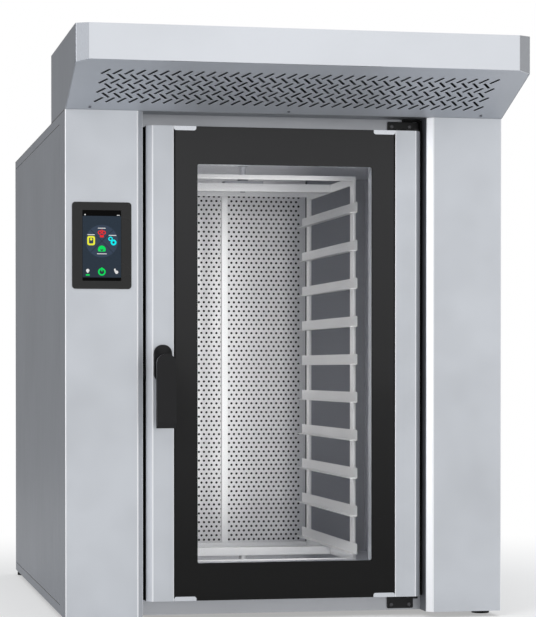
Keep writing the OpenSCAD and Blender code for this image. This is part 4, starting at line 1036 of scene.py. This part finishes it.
makeOuterGlass(outerGlass)
print("door glass is made")


# tray runners: an upright web with a round nose and a flange at its foot

runner = {"web": 202, "wall": 1.5, "gap": 0.2, "flange": 14, "front": 217.955, "length": 568, "height": 23.5,
          "first": 105.5, "pitch": 83.8, "levels": 10, "nose": 12, "corner": 6}


def makeRunners(s):
    x0, x1 = s["web"], s["web"] + s["wall"] - s["gap"]
    y0, y1 = s["front"], s["front"] + s["length"]
    z0 = s["first"]
    web = addBlock("runner_1_right", (x0, y0, z0), (x1, y1, z0 + s["height"]))
    # round nose
    editMesh(web)
    choose("EDGE", lambda e: liesAt(e, "y", placeY(y0)) and isLevel(e))
    bpy.ops.mesh.bevel(offset=s["corner"] / 1000, segments=5, affect="EDGES")
    # flange, drawn out of the foot of the web
    foot, nose = place(0, 0, z0 + s["wall"]), place(0, y0 + s["nose"], 0)
    cut(foot, (0, 0, 1))
    cut(nose, (0, 1, 0))
    choose("FACE", lambda f: f.normal.x < -0.9 and midOf(f).z < foot.z and midOf(f).y > nose.y)
    extrudeFaces((-s["flange"] / 1000, 0, 0))
    tipX = (x0 - s["flange"]) / 1000
    choose("EDGE", lambda e: liesAt(e, "x", tipX) and liesAt(e, "y", nose.y))
    bpy.ops.mesh.bevel(offset=s["corner"] / 1000, segments=4, affect="EDGES")
    leaveEdit()
    smooth(web, 30)
    left = mirrorPiece(web, "runner_1_left")
    dress(web, finishes["runnerSteel"], "rack", "bright_steel", "rack_runners")
    dress(left, finishes["runnerSteel"], "rack", "bright_steel", "rack_runners")
    for level in range(1, s["levels"]):
        for original, side in ((web, "right"), (left, "left")):
            twin = copyPiece(original, f"runner_{level + 1}_{side}", (0, 0, level * s["pitch"] / 1000))
            settle(twin, "rack", "bright_steel", "rack_runners")


makeRunners(runner)
print("runners are made")

# display of the touch screen: thin inlays on its glass, in millimetres from the middle of the screen

displayColours = {"field": (0.022, 0.034, 0.051), "disc": (0.036, 0.054, 0.087), "line": (0.016, 0.024, 0.036),
                  "red": (0.9, 0.02, 0.02), "yellow": (0.86, 0.86, 0.05), "cyan": (0.0, 0.85, 0.9),
                  "green": (0.0, 0.72, 0.11), "white": (0.75, 0.75, 0.75)}

display = {"x": -389.705, "z": 768, "front": -1.6, "lift": 0.05, "wall": 0.04}

# name, colour, layer, x, z, width, height, corner, turn in degrees
plates = [
    ("field", "field", 0, 0, -2.5, 79, 126, 0.4, 0), ("dividerA", "line", 2, 0, 9, 66, 1.1, 0.3, 45),
    ("dividerB", "line", 2, 0, 9, 66, 1.1, 0.3, -45), ("modeBox", "yellow", 3, -22, 9.8, 16, 19, 4, 0),
    ("modeBoxHole", "disc", 4, -22, 9.8, 9, 12, 2, 0), ("hatBase", "red", 3, 0, 19, 8, 4.5, 0.8, 0),
    ("labelTop", "white", 3, 0, 35.5, 16, 1.5, 0.5, 0), ("labelLeft", "white", 3, -22, 22, 15, 1.5, 0.5, 0),
    ("labelRight", "white", 3, 22, 21, 16, 1.5, 0.5, 0), ("labelLow", "white", 3, 0, -17, 20, 1.5, 0.5, 0),
    ("lampUnderline", "green", 3, -29, -60.5, 8, 3, 0.5, 0), ("lampCap", "white", 3, -29, -55, 3, 2.5, 0.5, 0),
    ("powerBar", "green", 4, 0, -49, 2.6, 8, 0.6, 0), ("markLeft", "white", 1, -34.5, 63, 2.6, 2.6, 0.6, 45),
    ("markRight", "white", 1, 34, 62.3, 6, 1.3, 0.4, 0), ("steamMark", "white", 3, 27.5, -51, 3.6, 8, 1.6, 15),
]

# name, colour, layer, x, z, radius, hole
discs = [
    ("dial", "disc", 1, 0, 9, 33.4, 0), ("hatLeft", "red", 3, -4.2, 26.5, 4, 2.4),
    ("hatRight", "red", 3, 4.2, 26.5, 4, 2.4), ("hatMiddle", "red", 3, 0, 29, 3.2, 1.6),
    ("modeDot", "yellow", 5, -22, 12.5, 2.4, 0),
    ("gearSmall", "cyan", 3, 18, 13.8, 4.6, 2.4), ("gearLarge", "cyan", 4, 24.2, 6.5, 6, 2.6),
    ("bell", "green", 3, 0, -8.2, 8, 3), ("bellTop", "green", 4, 0, -4.6, 3.4, 0),
    ("lampBulb", "white", 3, -29, -51.5, 3.5, 0), ("powerRing", "green", 3, 0, -54, 7.8, 4.8),
    ("steamDrop", "white", 4, 30.5, -54.5, 3.4, 0),
]


def lit(name, colour):
    material = newSurface(name, Roughness=0.3, Specular_IOR_Level=0.1)
    tree = material.node_tree
    surface = tree.nodes["surface"]
    cells = noise(tree, 700, 1)
    colour = Vector(colour)
    tree.links.new(tintedBy(tree, cells, colour * 0.9, colour * 1.08), surface.inputs["Emission Color"])
    surface.inputs["Emission Strength"].default_value = 1
    surface.inputs["Base Color"].default_value = (0, 0, 0, 1)
    tree.links.new(rangeOf(tree, cells, 0.25, 0.35), surface.inputs["Roughness"])
    return material


def inlayPlace(layer, x, z):
    return place(display["x"] + x, display["front"] - display["lift"] * (layer + 1), display["z"] + z)


def finishInlay(obj, name, colour, materials):
    obj.name = "display_" + name
    addModifier(obj, "SOLIDIFY", thickness=display["wall"] / 1000, offset=0)
    applyAll(obj)
    dress(obj, materials[colour], "oven", "screen_glass")


def makePlate(name, colour, layer, x, z, width, height, corner, turn, materials):
    deselectAll()
    at = inlayPlace(layer, x, z)
    bpy.ops.mesh.primitive_plane_add(size=1, location=at, rotation=(math.pi / 2, 0, 0))
    plate = bpy.context.object
    plate.scale = (width / 1000, height / 1000, 1)
    applyPlace(plate)
    editMesh(plate)
    chooseAll()
    bpy.ops.mesh.bevel(offset=corner / 1000, segments=4, affect="VERTICES")
    if turn:
        bpy.ops.transform.rotate(value=math.radians(turn), orient_axis="Y", center_override=at)
    leaveEdit()
    finishInlay(plate, name, colour, materials)


def makeDisc(name, colour, layer, x, z, radius, hole, materials):
    deselectAll()
    at = inlayPlace(layer, x, z)
    bpy.ops.mesh.primitive_circle_add(vertices=40, radius=radius / 1000, fill_type="NGON", location=at,
                                      rotation=(math.pi / 2, 0, 0))
    disc = bpy.context.object
    applyPlace(disc)
    editMesh(disc)
    chooseAll()
    bpy.ops.mesh.inset(thickness=(radius - hole) / 1000 if hole else radius / 4000)
    if hole:
        bpy.ops.mesh.delete(type="FACE")
    if name == "bell":  # the lower part of the ring is left off
        cut(at - Vector((0, 0, radius / 2000)), (0, 0, 1), clear_inner=True)
    leaveEdit()
    finishInlay(disc, name, colour, materials)


def makeDisplay():
    materials = {key: lit("display" + key.title(), value) for key, value in displayColours.items()}
    for row in plates:
        makePlate(*row, materials)
    for row in discs:
        makeDisc(*row, materials)


makeDisplay()
print("display is made")


# screws of the hinge brackets and of the hood's underside

screw = {
    "radius": 4, "height": 2, "edge": 0.7, "recess": 1.3, "recessDepth": 1.1,
    "bracket": {"x": (238.455, 277.455), "y": 56.8, "z": (11.5, 1031)},
    # along: the way down the slope from the hood's lip; slope: degrees from level
    "hood": {"x": (-415.455, 0, 415.455), "radius": 3, "along": 206, "slope": 20.15,
             "start": (0, -205.5, 1121.4), "sunk": 0.55},
}


def makeScrews(s):
    height = s["height"] / 1000
    bracket, hood = s["bracket"], s["hood"]
    spots = [(x, z) for x in bracket["x"] for z in bracket["z"]]
    firstX, firstZ = spots[0]
    at = place(firstX, bracket["y"] - s["height"] / 2, firstZ)
    deselectAll()
    bpy.ops.mesh.primitive_cylinder_add(vertices=32, radius=s["radius"] / 1000, depth=height, location=at,
                                        rotation=(math.pi / 2, 0, 0))
    head = bpy.context.object
    head.name = "screw_bracket_1"
    applyPlace(head)
    editMesh(head)
    choose("EDGE", lambda e: all(v.co.y < at.y for v in e.verts))
    bpy.ops.mesh.bevel(offset=s["edge"] / 1000, segments=3, affect="EDGES")
    choose("FACE", lambda f: f.normal.y < -0.99 and len(f.verts) > 8)
    bpy.ops.mesh.inset(thickness=s["recess"] / 1000)
    extrudeFaces((0, s["recessDepth"] / 1000, 0))
    leaveEdit()
    smooth(head, 35)
    dress(head, finishes["screwSteel"], "oven", "black_metal", "fixing_screws")
    for number, (x, z) in enumerate(spots[1:], start=2):
        twin = copyPiece(head, f"screw_bracket_{number}", place(x, 0, z) - place(firstX, 0, firstZ))
        settle(twin, "oven", "black_metal", "fixing_screws")
    # the hood's screws look down and forward, square to the slope
    slope = math.radians(hood["slope"])
    outwards = Vector((0, -math.sin(slope), -math.cos(slope)))
    for number, x in enumerate(hood["x"], start=1):
        seat = place(*hood["start"])
        seat += Vector((x, hood["along"] * math.cos(slope), -hood["along"] * math.sin(slope))) / 1000
        twin = copyPiece(head, f"screw_hood_{number}", seat - at)
        twin.data.materials[0] = finishes["shadeSteel"]
        editMesh(twin)
        chooseAll()
        bpy.ops.transform.resize(value=[hood["radius"] / s["radius"]] * 3, center_override=seat)
        bpy.ops.transform.rotate(value=math.pi / 2 + slope, orient_axis="X", center_override=seat)
        bpy.ops.transform.translate(value=outwards * height * hood["sunk"])
        leaveEdit()
        settle(twin, "oven", "black_metal", "fixing_screws")


makeScrews(screw)
print("screws are made")
